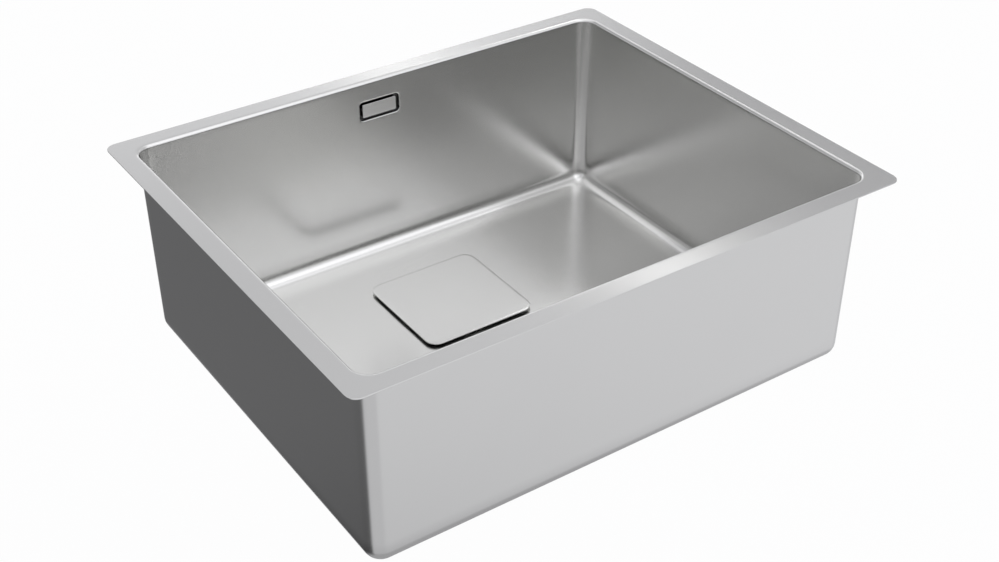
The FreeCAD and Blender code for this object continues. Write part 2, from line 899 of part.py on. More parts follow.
os.makedirs("parts", exist_ok=True)
for name, shape in pieces.items():
    shape.exportStep(f"parts/{name}.step")
    box = shape.BoundBox
    print(f"{name}: {len(shape.Solids)} solid, valid {shape.isValid()}, volume {shape.Volume:.0f}", end=", ")
    print(f"x {box.XMin:.1f} {box.XMax:.1f}, y {box.YMin:.1f} {box.YMax:.1f}, z {box.ZMin:.1f} {box.ZMax:.1f}")
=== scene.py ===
import math
import bpy
import bmesh
import numpy as np
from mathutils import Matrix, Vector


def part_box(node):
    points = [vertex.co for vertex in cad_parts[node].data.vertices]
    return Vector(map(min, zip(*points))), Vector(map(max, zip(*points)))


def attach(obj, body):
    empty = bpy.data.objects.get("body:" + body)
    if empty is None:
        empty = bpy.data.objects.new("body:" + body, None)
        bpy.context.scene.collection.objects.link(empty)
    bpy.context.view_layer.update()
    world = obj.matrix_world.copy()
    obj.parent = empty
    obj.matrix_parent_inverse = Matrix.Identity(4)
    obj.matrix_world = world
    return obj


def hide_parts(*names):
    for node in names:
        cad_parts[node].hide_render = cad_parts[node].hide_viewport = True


# Undermount kitchen sink, dressed over its CAD frame. Shapes are in millimetres, in the frame's axes.

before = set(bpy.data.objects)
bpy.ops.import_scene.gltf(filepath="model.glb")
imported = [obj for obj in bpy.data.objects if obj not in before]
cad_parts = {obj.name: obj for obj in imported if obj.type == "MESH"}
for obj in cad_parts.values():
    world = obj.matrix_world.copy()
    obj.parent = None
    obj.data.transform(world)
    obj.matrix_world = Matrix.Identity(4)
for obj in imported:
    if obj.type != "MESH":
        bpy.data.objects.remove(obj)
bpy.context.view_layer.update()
print("frame loaded:", len(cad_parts), "nodes")

mm = 0.001
fullTurn = 2 * math.pi
quarterTurn = math.pi / 2


def boxOf(node):  # lowest and highest corner of a CAD node, in millimetres
    low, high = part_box(node)
    return np.array(low) / mm, np.array(high) / mm


flangeEnd = boxOf("bowl")[1][0]
strainerLow, strainerHigh = boxOf("strainer_cup")
drainY = (strainerLow[1] + strainerHigh[1]) / 2
drain = (0.0, drainY, 0.0)
floorZ = strainerHigh[2]


# Shapes: each is a grid of points worked out as whole arrays, with the quads between them.


def roundCorners(corners, steps=5):
    # Closed profile through corners (x, y, radius): each becomes an arc that touches both of its sides.
    points = np.array([corner[:2] for corner in corners], float)
    out = []
    for number, corner in enumerate(corners):
        here = points[number]
        radius = corner[2] if len(corner) > 2 else 0
        if radius <= 0:
            out.append(here[None])
            continue
        back = points[number - 1] - here
        ahead = points[(number + 1) % len(points)] - here
        back = back / np.linalg.norm(back)
        ahead = ahead / np.linalg.norm(ahead)
        half = math.acos(np.clip(back @ ahead, -1, 1)) / 2
        hub = here + (back + ahead) / np.linalg.norm(back + ahead) * radius / math.sin(half)
        start = here + back * radius / math.tan(half) - hub
        sweep = math.pi - 2 * half
        if back[0] * ahead[1] - back[1] * ahead[0] > 0:
            sweep = -sweep
        turn = np.linspace(0, sweep, steps + 1)
        arc = np.stack([start[0] * np.cos(turn) - start[1] * np.sin(turn),
                        start[0] * np.sin(turn) + start[1] * np.cos(turn)], axis=1)
        out.append(hub + arc)
    return np.concatenate(out)


def tubeProfile(inner, outer, low, high, innerEdge, outerEdge, steps):
    # Closed section of a ring, with its inner and outer edges rounded.
    return roundCorners([(inner, low, innerEdge), (outer, low, outerEdge), (outer, high, outerEdge),
                         (inner, high, innerEdge)], steps)


def gridFaces(rows, columns, closeRows=False, closeColumns=True):
    # Quads between neighbouring rows and columns of a grid, wrapped round where it closes.
    row, column = np.meshgrid(np.arange(rows if closeRows else rows - 1),
                              np.arange(columns if closeColumns else columns - 1), indexing="ij")
    nextRow = (row + 1) % rows
    nextColumn = (column + 1) % columns
    quads = np.stack([row * columns + column, row * columns + nextColumn,
                      nextRow * columns + nextColumn, nextRow * columns + column], axis=-1)
    return quads.reshape(-1, 4)


def asGrid(points, closeRows=False):
    # A (rows, columns, 3) array of points, closed round its columns, with the quads between them.
    return points.reshape(-1, 3), gridFaces(points.shape[0], points.shape[1], closeRows)


def faced(points, facing):
    # Turns a shape that stands along +Z: "back" lays its height along +Y, and "down" along -Z.
    x, y, z = points[..., 0], points[..., 1], points[..., 2]
    if facing == "back":
        return np.stack([x, z, -y], axis=-1)
    if facing == "down":
        return np.stack([x, -y, -z], axis=-1)
    return points


def placed(parts, place, facing="up"):
    return [(faced(points, facing) + np.array(place), faces) for points, faces in parts]


def lathe(profile, steps=96, place=(0, 0, 0), facing="up", radial=None, closeRows=True):
    # Each profile point (r, h) goes round its axis: x = r cos a, y = r sin a and z = h, after radial(a, h, r)
    # is added to r. Then it's faced and put in its place.
    angle = np.arange(steps) * fullTurn / steps
    radius = profile[:, :1] + np.zeros(steps)
    height = profile[:, 1:] + np.zeros(steps)
    if radial:
        radius = radius + radial(angle + np.zeros_like(radius), height, radius)
    points = np.stack([radius * np.cos(angle), radius * np.sin(angle), height], axis=-1)
    return asGrid(faced(points, facing) + np.array(place), closeRows)


def roundedLoop(halfX, halfY, corner, sideX, sideY, cornerTurn):
    # Rounded rectangle, counter-clockwise from its right side: the sides at the given shares, the corners
    # at the given turns. Gives the points and their outward directions.
    x, y = halfX - corner, halfY - corner
    corners = [(x, y), (-x, y), (-x, -y), (x, -y)]
    sides = [(sideY, (halfX, -y), (halfX, y)), (sideX, (x, halfY), (-x, halfY)),
             (sideY, (-halfX, y), (-halfX, -y)), (sideX, (-x, -halfY), (x, -halfY))]
    points, outward = [], []
    for number in range(4):
        share, start, end = sides[number]
        facing = number * quarterTurn
        points.append(np.array(start) + share[1:-1, None] * (np.array(end) - np.array(start)))
        outward.append(np.tile([math.cos(facing), math.sin(facing)], (len(share) - 2, 1)))
        arc = np.stack([np.cos(facing + cornerTurn), np.sin(facing + cornerTurn)], axis=1)
        points.append(np.array(corners[number]) + corner * arc)
        outward.append(arc)
    return np.concatenate(points), np.concatenate(outward)


def plainLoop(halfX, halfY, corner, cornerSteps):
    # Rounded rectangle with points at its corners only.
    ends = np.array([0, 1])
    return roundedLoop(halfX, halfY, corner, ends, ends, np.linspace(0, quarterTurn, cornerSteps + 1))


def loopAtAngles(half, corner, angle):
    # Where rays from the middle at the given angles meet a rounded square: its nearer side, or a corner.
    direction = np.stack([np.cos(angle), np.sin(angle)], axis=-1)
    size = np.abs(direction)
    reach = half / size.max(axis=-1)
    hub = np.array([half - corner, half - corner])
    beyond = (size * reach[..., None] > hub).all(axis=-1)
    along = size @ hub
    root = np.sqrt(np.maximum(along ** 2 - hub @ hub + corner ** 2, 0))
    return direction * np.where(beyond, along + root, reach)[..., None]


def carry(loop, outward, profile):
    # Every profile point (offset, height) goes round the loop, at loop + offset * outward and z = height.
    flat = loop + profile[:, :1, None] * outward
    height = np.broadcast_to(profile[:, 1:, None], flat.shape[:2] + (1,))
    return np.concatenate([flat, height], axis=-1)


def levelRows(rows):
    # Flat outlines, each laid at its own height.
    return np.stack([np.column_stack([flat, np.full(len(flat), height)]) for flat, height in rows])


def slab(loop, outward, profile, openStart=False):
    # The profile carried round the loop, with flat faces over its end and, unless it's open, its start.
    grid = carry(loop, outward, profile)
    ring = np.arange(len(loop))[None]
    parts = [asGrid(grid), (grid[-1], ring)]
    if not openStart:
        parts.append((grid[0], ring[:, ::-1]))
    return parts


def nearestOnOutline(points, halfX, halfY, corner):
    # The nearest point of a rounded rectangle's outline: hub + corner * (p - hub) / |p - hub|, with hub =
    # p held within the corners' centres.
    hubs = np.array([halfX - corner, halfY - corner])
    hub = np.clip(points, -hubs, hubs)
    away = points - hub
    return hub + corner * away / np.linalg.norm(away, axis=-1, keepdims=True)


def polarSurface(radiusAt, heightAt):
    # A surface over u and the angle v: x = r(u) cos v, y = r(u) sin v, z = z(u).
    return lambda u, v: np.stack([radiusAt(u) * np.cos(v), radiusAt(u) * np.sin(v), heightAt(u)], axis=-1)


def sectorWithHole(surface, along, sectors, steps, block, opening, radiusAt):
    # One sector of surface(u, v) over the knots along (u) and its angle's steps (v), with the cells
    # between the block's indices taken out and ringed down to a rounded opening; then the sector is turned
    # round the axis as often as there are sectors.
    u, v = np.meshgrid(along, np.linspace(0, fullTurn / sectors, steps + 1), indexing="ij")
    rows, columns = u.shape
    faces = gridFaces(rows, columns, closeColumns=False)
    low, high, left, right = block
    row, column = faces[:, 0] // columns, faces[:, 0] % columns
    inside = (row >= low) & (row < high) & (column >= left) & (column < right)
    upRow = np.concatenate([np.full(right - left, low), np.arange(low, high), np.full(right - left, high),
                            np.arange(high, low, -1)])
    upColumn = np.concatenate([np.arange(left, right), np.full(high - low, right), np.arange(right, left, -1),
                               np.full(high - low, left)])
    edgeU, edgeV = u[upRow, upColumn], v[upRow, upColumn]
    midU, midV = (edgeU.min() + edgeU.max()) / 2, (edgeV.min() + edgeV.max()) / 2
    flat = np.stack([(edgeV - midV) * radiusAt(edgeU), edgeU - midU], axis=-1)
    hole = nearestOnOutline(flat, *opening)
    holeU = midU + hole[:, 1]
    ringU = np.stack([edgeU, holeU])
    ringV = np.stack([edgeV, midV + hole[:, 0] / radiusAt(holeU)])
    points = np.concatenate([surface(u, v).reshape(-1, 3), surface(ringU, ringV).reshape(-1, 3)])
    ring = gridFaces(2, len(edgeU)) + rows * columns
    sector = np.concatenate([faces[~inside], ring])
    turns = np.arange(sectors) * fullTurn / sectors
    cos, sin = np.cos(turns)[:, None], np.sin(turns)[:, None]
    turned = np.stack([points[:, 0] * cos - points[:, 1] * sin, points[:, 0] * sin + points[:, 1] * cos,
                       points[:, 2] + 0 * cos], axis=-1)
    allFaces = sector[None] + (np.arange(sectors) * len(points))[:, None, None]
    return turned.reshape(-1, 3), allFaces.reshape(-1, 4)


def makePiece(name, parts, body, slot, sharp=40.0, modifiers=(), sheetUp=False):
    # The parts, in millimetres, become one mesh in the slot's finish: doubles are merged, and every
    # closed part faces outwards. An open sheet faces up, into the hollow that it goes round.
    points, faces, count = [], [], 0
    for partPoints, partFaces in parts:
        points.append(partPoints)
        faces += (partFaces + count).tolist()
        count += len(partPoints)
    mesh = bpy.data.meshes.new(name)
    mesh.from_pydata((np.concatenate(points) * mm).tolist(), [], faces)
    work = bmesh.new()
    work.from_mesh(mesh)
    bmesh.ops.remove_doubles(work, verts=work.verts, dist=2e-6)
    bmesh.ops.recalc_face_normals(work, faces=work.faces)
    if sheetUp and sum(face.normal.z * face.calc_area() for face in work.faces) < 0:
        bmesh.ops.reverse_faces(work, faces=work.faces)
    work.to_mesh(mesh)
    work.free()
    mesh.polygons.foreach_set("use_smooth", np.ones(len(mesh.polygons), bool))
    mesh.set_sharp_from_angle(angle=math.radians(sharp))
    mesh.materials.append(finishes[slot])
    piece = bpy.data.objects.new(name, mesh)
    bpy.context.scene.collection.objects.link(piece)
    for kind, settings in modifiers:
        modifier = piece.modifiers.new(kind.title(), kind)
        for setting, value in settings.items():
            setattr(modifier, setting, value)
    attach(piece, body)
    return piece


def dressNode(node, parts, body, slot, sharp=40.0, modifiers=(), sheetUp=False, name=None):
    # A piece that takes the place of one CAD node.
    piece = makePiece(name or node + "_skin", parts, body, slot, sharp, modifiers, sheetUp)
    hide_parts(node)


def softEdge(width, angle):
    return ("BEVEL", dict(width=width * mm, segments=2, limit_method="ANGLE", angle_limit=math.radians(angle),
                          harden_normals=True))


def sheetOf(thickness, offset=-1.0):
    return ("SOLIDIFY", dict(thickness=thickness * mm, offset=offset, use_even_offset=True, use_rim=True))


# Materials: shared effects are groups, and each finish has its own look.


def addNode(tree, kind, settings=None, inputs=None):
    node = tree.nodes.new("ShaderNode" + kind)
    for setting, value in (settings or {}).items():
        setattr(node, setting, value)
    for label, value in (inputs or {}).items():
        if isinstance(value, bpy.types.NodeSocket):
            tree.links.new(value, node.inputs[label])
        else:
            node.inputs[label].default_value = value
    return node


def calc(tree, operation, *values, kind="Math", **settings):
    node = addNode(tree, kind, {"operation": operation, **settings}, dict(enumerate(values)))
    return node.outputs[0]


def noise(tree, vector, scale, **more):
    return addNode(tree, "TexNoise", None, {"Vector": vector, "Scale": scale, **more}).outputs["Fac"]


def softStep(tree, value, start, end):
    # Nought at start, one at end, and 3 t^2 - 2 t^3 between them.
    limits = {"Value": value, "From Min": start, "From Max": end}
    return addNode(tree, "MapRange", {"interpolation_type": "SMOOTHSTEP"}, limits).outputs[0]


def mixColours(tree, share, first, second):
    return addNode(tree, "Mix", {"data_type": "RGBA"}, {"Factor": share, 6: first, 7: second}).outputs[2]


def arrangeNodes(tree):
    # Every node stands one column left of those that it feeds, and a column's nodes one under another.
    column = dict.fromkeys(tree.nodes.keys(), 0)
    for _ in range(len(column)):
        for link in tree.links:
            start = link.from_node.name
            column[start] = max(column[start], column[link.to_node.name] + 1)
    filled = {}
    for node in tree.nodes:
        at = column[node.name]
        node.location = (-240 * at, -300 * filled.get(at, 0))
        filled[at] = filled.get(at, 0) + 1


def newGroup(name, inputs, outputs):
    # A node group: its inputs are (label, kind, default), and its outputs (label, kind).
    group = bpy.data.node_groups.new(name, "ShaderNodeTree")
    for label, kind, value in inputs:
        socket = group.interface.new_socket(label, in_out="INPUT", socket_type="NodeSocket" + kind)
        if value is not None:
            socket.default_value = value
    for label, kind in outputs:
        group.interface.new_socket(label, in_out="OUTPUT", socket_type="NodeSocket" + kind)
    return group, group.nodes.new("NodeGroupInput").outputs


def closeGroup(group, results):
    end = group.nodes.new("NodeGroupOutput")
    for label, value in results.items():
        group.links.new(value, end.inputs[label])
    arrangeNodes(group)
    return group


def grainGroup():
    # Fine metal grain on Object coordinates: a noise stretched along the rolling direction gives the
    # height, and with a broad noise it makes the roughness wander a little.
    group, given = newGroup("metalGrain", [
        ("Vector", "Vector", None), ("Stretch", "Vector", (1.0, 1.0, 1.0)), ("Scale", "Float", 900.0),
        ("Roughness", "Float", 0.28), ("Spread", "Float", 0.05)],
        [("Height", "Float"), ("Roughness", "Float")])
    stretched = calc(group, "MULTIPLY", given["Vector"], given["Stretch"], kind="VectorMath")
    fine = noise(group, stretched, given["Scale"], Detail=2.0, Roughness=0.6)
    broad = noise(group, given["Vector"], 14.0, Detail=4.0, Roughness=0.55)
    rough = given["Roughness"]
    for wave in (broad, fine):
        rough = calc(group, "MULTIPLY_ADD", calc(group, "SUBTRACT", wave, 0.5), given["Spread"], rough)
    return closeGroup(group, {"Height": fine, "Roughness": rough})


def smudgeGroup():
    # Faint wiped film and dried drops: the stronger of soft noise patches and a few spots of a cell pattern.
    group, given = newGroup("wipedFilm", [
        ("Vector", "Vector", None), ("Clean", "Color", (0.66, 0.66, 0.65, 1)),
        ("Film", "Color", (0.62, 0.62, 0.61, 1)), ("Amount", "Float", 0.5)],
        [("Color", "Color"), ("Mask", "Float")])
    patch = noise(group, given["Vector"], 9.0, Detail=5.0, Roughness=0.6, Distortion=0.8)
    cells = addNode(group, "TexVoronoi", {"feature": "F1"}, {
        "Vector": given["Vector"], "Scale": 26.0, "Randomness": 1.0})
    spots = calc(group, "MULTIPLY", softStep(group, cells.outputs["Distance"], 0.16, 0.04), 0.35)
    mask = calc(group, "MAXIMUM", softStep(group, patch, 0.42, 0.68), spots)
    amount = calc(group, "MULTIPLY", mask, given["Amount"], use_clamp=True)
    colour = mixColours(group, amount, given["Clean"], given["Film"])
    return closeGroup(group, {"Color": colour, "Mask": amount})


def mouldGroup():
    # Moulded skin: fine pitting as height, and a cloudy change between two near tones.
    group, given = newGroup("mouldedSkin", [
        ("Vector", "Vector", None), ("Light", "Color", (0.8, 0.8, 0.79, 1)),
        ("Dark", "Color", (0.74, 0.74, 0.73, 1)), ("Pit Scale", "Float", 1400.0),
        ("Roughness", "Float", 0.5)],
        [("Color", "Color"), ("Height", "Float"), ("Roughness", "Float")])
    pits = noise(group, given["Vector"], given["Pit Scale"], Detail=2.0)
    cloud = noise(group, given["Vector"], 22.0, Detail=4.0, Distortion=0.6)
    rough = calc(group, "MULTIPLY_ADD", cloud, 0.12, given["Roughness"])
    colour = mixColours(group, cloud, given["Light"], given["Dark"])
    return closeGroup(group, {"Color": colour, "Height": pits, "Roughness": rough})


effects = {"grain": grainGroup(), "film": smudgeGroup(), "mould": mouldGroup()}


def useGroup(tree, effect, **inputs):
    return addNode(tree, "Group", {"node_tree": effects[effect]}, inputs).outputs


def newMaterial(name, plain):
    # A material with the constants on its Principled shader's own sockets.
    material = bpy.data.materials.new(name)
    material.use_nodes = True
    tree = material.node_tree
    shader = tree.nodes["Principled BSDF"]
    for label, value in plain.items():
        shader.inputs[label].default_value = value
    return material, tree


def closeMaterial(tree, look, colour, rough, height):
    # Colour, roughness and bump go to the shader.
    bump = addNode(tree, "Bump", None, {
        "Height": height, "Strength": look["bump"], "Distance": look["bumpDepth"] * mm})
    shader = tree.nodes["Principled BSDF"]
    for label, value in (("Base Color", colour), ("Roughness", rough), ("Normal", bump.outputs["Normal"])):
        tree.links.new(value, shader.inputs[label])
    arrangeNodes(tree)


def insideBox(tree, place, middle, half):
    # One inside the box and nought outside it: |place - middle| < half on all three axes, in metres.
    away = calc(tree, "ABSOLUTE", calc(tree, "SUBTRACT", place, middle, kind="VectorMath"), kind="VectorMath")
    split = addNode(tree, "SeparateXYZ", None, {0: away}).outputs
    x, y, z = [calc(tree, "LESS_THAN", split[axis], half[axis]) for axis in range(3)]
    return calc(tree, "MULTIPLY", calc(tree, "MULTIPLY", x, y), z)


def metalMaterial(name, look, patch=None):
    material, tree = newMaterial(name, {"Metallic": 1.0})
    place = addNode(tree, "TexCoord").outputs["Object"]
    film = useGroup(tree, "film", Vector=place, Clean=look["colour"] + (1,), Film=look["film"] + (1,),
                    Amount=look["filmAmount"])
    grain = useGroup(tree, "grain", Vector=place, Stretch=look["stretch"], Scale=look["grainScale"],
                     Roughness=look["roughness"], Spread=look["spread"])
    rough = calc(tree, "MULTIPLY_ADD", film["Mask"], look["filmRoughness"], grain["Roughness"])
    colour = film["Color"]
    # A patch paints shade: inside its box the base colour becomes the patch's dark colour.
    if patch:
        mask = insideBox(tree, place, patch["middle"], patch["half"])
        colour = mixColours(tree, mask, colour, patch["colour"] + (1,))
    closeMaterial(tree, look, colour, rough, grain["Height"])
    return material


def mouldedMaterial(name, look):
    material, tree = newMaterial(name, {})
    place = addNode(tree, "TexCoord").outputs["Object"]
    skin = useGroup(tree, "mould", Vector=place, Light=look["light"] + (1,), Dark=look["dark"] + (1,),
                    Roughness=look["roughness"], **{"Pit Scale": look["pitScale"]})
    closeMaterial(tree, look, skin["Color"], skin["Roughness"], skin["Height"])
    return material


bowlLook = dict(colour=(0.72, 0.72, 0.708), film=(0.705, 0.705, 0.695), filmAmount=0.25,
                filmRoughness=0.015, stretch=(1.0, 1.0, 1.0), grainScale=1500.0, roughness=0.22,
                spread=0.012, bump=0.015, bumpDepth=0.02)
coverLook = dict(bowlLook, stretch=(0.03, 1.0, 1.0), grainScale=1800.0, spread=0.03, bump=0.06)
fittingLook = dict(bowlLook, colour=(0.68, 0.68, 0.67), film=(0.63, 0.63, 0.62), roughness=0.2)
plateLook = dict(bowlLook, colour=(0.9, 0.9, 0.89), film=(0.86, 0.86, 0.85), filmAmount=0.2,
                 roughness=0.3, spread=0.02, bump=0.02)
screwLook = dict(bowlLook, colour=(0.6, 0.6, 0.6), film=(0.5, 0.5, 0.49), roughness=0.3, bump=0.12)
brassLook = dict(bowlLook, colour=(0.71, 0.56, 0.3), film=(0.52, 0.4, 0.2), filmAmount=0.6, roughness=0.3,
                 stretch=(1.0, 1.0, 0.04), bump=0.15)
wasteLook = dict(light=(0.83, 0.83, 0.81), dark=(0.77, 0.77, 0.75), pitScale=1300.0, roughness=0.38,
                 bump=0.12, bumpDepth=0.05)
nutLook = dict(wasteLook, light=(0.74, 0.74, 0.72), dark=(0.67, 0.67, 0.65), roughness=0.42)
basketLook = dict(wasteLook, light=(0.21, 0.21, 0.22), dark=(0.16, 0.16, 0.17), roughness=0.42)
sealLook = dict(wasteLook, light=(0.05, 0.05, 0.05), dark=(0.03, 0.03, 0.03), pitScale=900.0,
                roughness=0.6, bump=0.2)
padLook = dict(wasteLook, light=(0.17, 0.17, 0.175), dark=(0.13, 0.13, 0.135), pitScale=500.0,
               roughness=0.75, bump=0.5, bumpDepth=0.2)

# Painted shade in the overflow tray: inside this box, in metres, the bowl's colour turns near black.
trayShade = dict(middle=(0.0, 0.2034, -0.0308), half=(0.0231, 0.0030, 0.0110), colour=(0.12, 0.12, 0.12))

finishes = {
    "bowl_steel": metalMaterial("satin bowl steel", bowlLook, trayShade),
    "cover_steel": metalMaterial("brushed cover steel", coverLook),
    "fitting_steel": metalMaterial("pressed fitting steel", fittingLook),
    "plate_chrome": metalMaterial("satin plate", plateLook),
    "screw_steel": metalMaterial("plain screw steel", screwLook),
    "nut_brass": metalMaterial("turned brass", brassLook),
    "waste_plastic": mouldedMaterial("white moulding", wasteLook),
    "nut_plastic": mouldedMaterial("grey nut moulding", nutLook),
    "basket_plastic": mouldedMaterial("dark moulding", basketLook),
    "seal_rubber": mouldedMaterial("black rubber", sealLook),
    "pad_rubber": mouldedMaterial("damping sheet", padLook),
}
print("materials made:", len(finishes))


# Bowl: one pressed sheet. The grid runs round the opening and down from the flange's edge to the drain
# hole. A window of its cells in the back wall gives way to the overflow tray.

bowlShape = dict(insideX=250.0, insideY=200.0, corner=15.0, cornerEven=0.55, flangeCorner=10.0,
                 rimRadius=3.0, floorRadius=14.0, sheet=1.0, edge=0.25, blendRadius=64.0, recessEdge=56.6,
                 recessLand=55.0, recessDepth=2.2, recessBend=0.6, drainHole=45.0, overflowDrop=30.8,
                 windowX=24.0, windowZ=12.5, trayHalfX=21.8, trayHalfZ=9.6, trayCorner=3.6, trayDepth=3.5,
                 trayBend=1.5, trayFoot=0.5, slotHalfX=15.5, slotHalfZ=4.5, slotCorner=4.4, slotLand=0.4)


def trayRings(s, edge):
    # Tray rings from the window's edge inwards. Growth and depth follow the bend, R - R sin t and
    # R - R cos t, then the tray's wall, the foot's bend and the slot. Each ring holds the outline's nearest
    # points to those of the edge.
    middle = edge + np.array([0, s["overflowDrop"]])
    turn = np.linspace(0, quarterTurn, 6)
    bend, foot, depth = s["trayBend"], s["trayFoot"], s["trayDepth"]
    growth = np.concatenate([bend - bend * np.sin(turn), -foot + foot * np.cos(turn)])
    deep = np.concatenate([[0], bend - bend * np.cos(turn), depth - foot + foot * np.sin(turn), [depth] * 2])
    rings = [middle]
    for g in growth:
        rings.append(nearestOnOutline(middle, s["trayHalfX"] + g, s["trayHalfZ"] + g, s["trayCorner"] + g))
    for g in (s["slotLand"], 0):
        rings.append(nearestOnOutline(middle, s["slotHalfX"] + g, s["slotHalfZ"] + g, s["slotCorner"] + g))
    rings = np.stack(rings)
    return np.stack([rings[..., 0], s["insideY"] + deep[:, None] + 0 * rings[..., 0],
                     rings[..., 1] - s["overflowDrop"]], axis=-1)


def openingLoop(s):
    # The opening's outline, with close points over the window in its long sides. A corner's turn follows
    # 1 + e t + (1 - e) t^3, from nought to a quarter turn as t goes from -1 to 1.
    coarse = np.linspace(s["windowX"], s["insideX"] - s["corner"], 36)[1:]
    alongX = np.concatenate([-coarse[::-1], np.linspace(-s["windowX"], s["windowX"], 33), coarse])
    shareX = (alongX - alongX[0]) / (alongX[-1] - alongX[0])
    t = np.linspace(-1, 1, 25)
    even = s["cornerEven"]
    cornerTurn = quarterTurn / 2 * (1 + even * t + (1 - even) * t ** 3)
    return roundedLoop(s["insideX"], s["insideY"], s["corner"], shareX, np.linspace(0, 1, 48), cornerTurn)


def flangeRows(s, loop, outward):
    # Ruled from the flange's own outline to the rim: outer + share * (rim - outer).
    hub = np.array([s["insideX"] - s["corner"], s["insideY"] - s["corner"]])
    nearest = np.clip(loop, -hub, hub)
    facing = np.arctan2(loop[:, 1] - nearest[:, 1], loop[:, 0] - nearest[:, 0])
    outer = nearest + loopAtAngles(flangeEnd - hub[0], s["flangeCorner"], facing)
    rim = loop + s["rimRadius"] * outward
    share = np.array([0, 0.05, 0.3, 0.6, 0.9])[:, None, None]
    return np.concatenate([outer + share * (rim - outer), np.zeros((5, len(loop), 1))], axis=-1)


def wallRows(s, loop, outward):
    # Offset outwards from the opening and height: the rim's arc, the wall, and the floor's arc.
    turn = np.linspace(0, quarterTurn, 8)
    r, f = s["rimRadius"], s["floorRadius"]
    knots = [-r, s["windowZ"] - s["overflowDrop"], -s["windowZ"] - s["overflowDrop"], floorZ + f]
    wallZ = np.concatenate([np.linspace(knots[number], knots[number + 1], count)[1:]
                            for number, count in enumerate((5, 18, 14))])
    offset = np.concatenate([r - r * np.sin(turn), 0 * wallZ, -f + f * np.cos(turn)[1:]])
    height = np.concatenate([-r + r * np.cos(turn), wallZ, floorZ + f - f * np.sin(turn)[1:]])
    return carry(loop, outward, np.stack([offset, height], axis=1))


def floorRows(s, last):
    # The floor blends from the wall's last row to a circle round the drain: last + share * (circle - last).
    # The recess goes down from there to the drain hole.
    angle = np.arctan2(last[:, 1] - drainY, last[:, 0])
    circle = np.stack([np.cos(angle), np.sin(angle), 0 * angle], axis=1)
    middle = np.array([0, drainY, floorZ])
    blend = np.linspace(0, 1, 15)[1:, None, None]
    floor = last + blend * (circle * s["blendRadius"] + middle - last)
    depth, bend = s["recessDepth"], s["recessBend"]
    step = roundCorners([(s["blendRadius"], 0), (s["recessEdge"], 0, bend + 1),
                         (s["recessLand"], -depth, bend), (s["drainHole"], -depth)], 4)[1:]
    recess = circle * step[:, :1, None] + middle + step[:, 1:, None] * np.array([0, 0, 1])
    return np.concatenate([floor, recess])


def bowlParts(s):
    loop, outward = openingLoop(s)
    walls = wallRows(s, loop, outward)
    grid = np.concatenate([flangeRows(s, loop, outward), walls, floorRows(s, walls[-1])])
    points, faces = asGrid(grid)
    middle = points[faces].mean(axis=1)
    inWindow = (middle[:, 1] > s["insideY"] - 0.1) & (np.abs(middle[:, 0]) < s["windowX"])
    inWindow &= np.abs(middle[:, 2] + s["overflowDrop"]) < s["windowZ"]
    block = points[np.unique(faces[inWindow])]
    onEdge = np.abs(np.abs(block[:, 0]) - s["windowX"]) < 0.01
    onEdge |= np.abs(np.abs(block[:, 2] + s["overflowDrop"]) - s["windowZ"]) < 0.01
    edge = block[onEdge][:, [0, 2]]
    edge = edge[np.argsort(np.arctan2(edge[:, 1] + s["overflowDrop"], edge[:, 0]))]
    return [(points, faces[~inWindow]), asGrid(trayRings(s, edge))]


dressNode("bowl", bowlParts(bowlShape), "root", "bowl_steel", 50,
          [sheetOf(bowlShape["sheet"]), softEdge(bowlShape["edge"], 60)], sheetUp=True, name="bowl_surface")
print("bowl made")


# Square cover over the drain.

coverLow, coverHigh = boxOf("cover_plate")
coverShape = dict(corner=12.0, edge=0.35, lid=3.0)


def coverParts(s):
    # The edge is a profile with two small arcs, carried round the rounded square, with a face on each end.
    thick = coverHigh[2] - coverLow[2]
    half = (coverHigh[0] - coverLow[0]) / 2
    loop, outward = plainLoop(half, half, s["corner"], 12)
    e = s["edge"]
    turn = np.linspace(0, quarterTurn, 5)
    top = np.stack([-e + e * np.sin(turn), thick - e + e * np.cos(turn)], axis=1)
    bottom = np.stack([-e + e * np.cos(turn), e - e * np.sin(turn)], axis=1)
    profile = np.concatenate([[[-s["lid"], thick]], top, bottom, [[-s["lid"], 0.0]]])
    return placed(slab(loop, outward, profile), (0, drainY, coverLow[2]))


dressNode("cover_plate", coverParts(coverShape), "cover", "cover_steel", 60, name="cover_top")


# Overflow plate in its tray, with the boss and pips behind it.

plateLow, plateHigh = boxOf("overflow_plate")
plateShape = dict(corner=1.0, edge=0.3, lid=0.8, thickness=1.0, rear=0.5, boss=3.5, bore=2.55,
                  boreDepth=9.0, pip=1.5, pipAt=16.5, pipLength=3.1)


def plateParts(s):
    # Front plate as a carried profile; the boss (with its bore) and the two pips are turned about +Y.
    half = (plateHigh - plateLow) / 2
    middleZ = (plateHigh[2] + plateLow[2]) / 2
    loop, outward = plainLoop(half[0], half[2], s["corner"], 5)
    e = s["edge"]
    turn = np.linspace(0, quarterTurn, 4)
    front = np.stack([-e + e * np.sin(turn), e - e * np.cos(turn)], axis=1)
    profile = np.concatenate([[[-s["lid"], 0.0]], front, [[0, s["thickness"]], [-s["lid"], s["thickness"]]]])
    end = plateHigh[1] - plateLow[1]
    boss = roundCorners([(0, s["rear"]), (s["boss"], s["rear"]), (s["boss"], end, 0.4), (s["bore"], end, 0.3),
                         (s["bore"], end - s["boreDepth"]), (0, end - s["boreDepth"])])
    pip = roundCorners([(0, s["rear"]), (s["pip"], s["rear"]), (s["pip"], s["pipLength"], 0.3),
                        (0, s["pipLength"])])
    parts = placed(slab(loop, outward, profile), (0, plateLow[1], middleZ), "back")
    for shape, steps, x in ((boss, 48, 0), (pip, 24, -s["pipAt"]), (pip, 24, s["pipAt"])):
        parts.append(lathe(shape, steps, (x, plateLow[1], middleZ), "back", closeRows=False))
    return parts


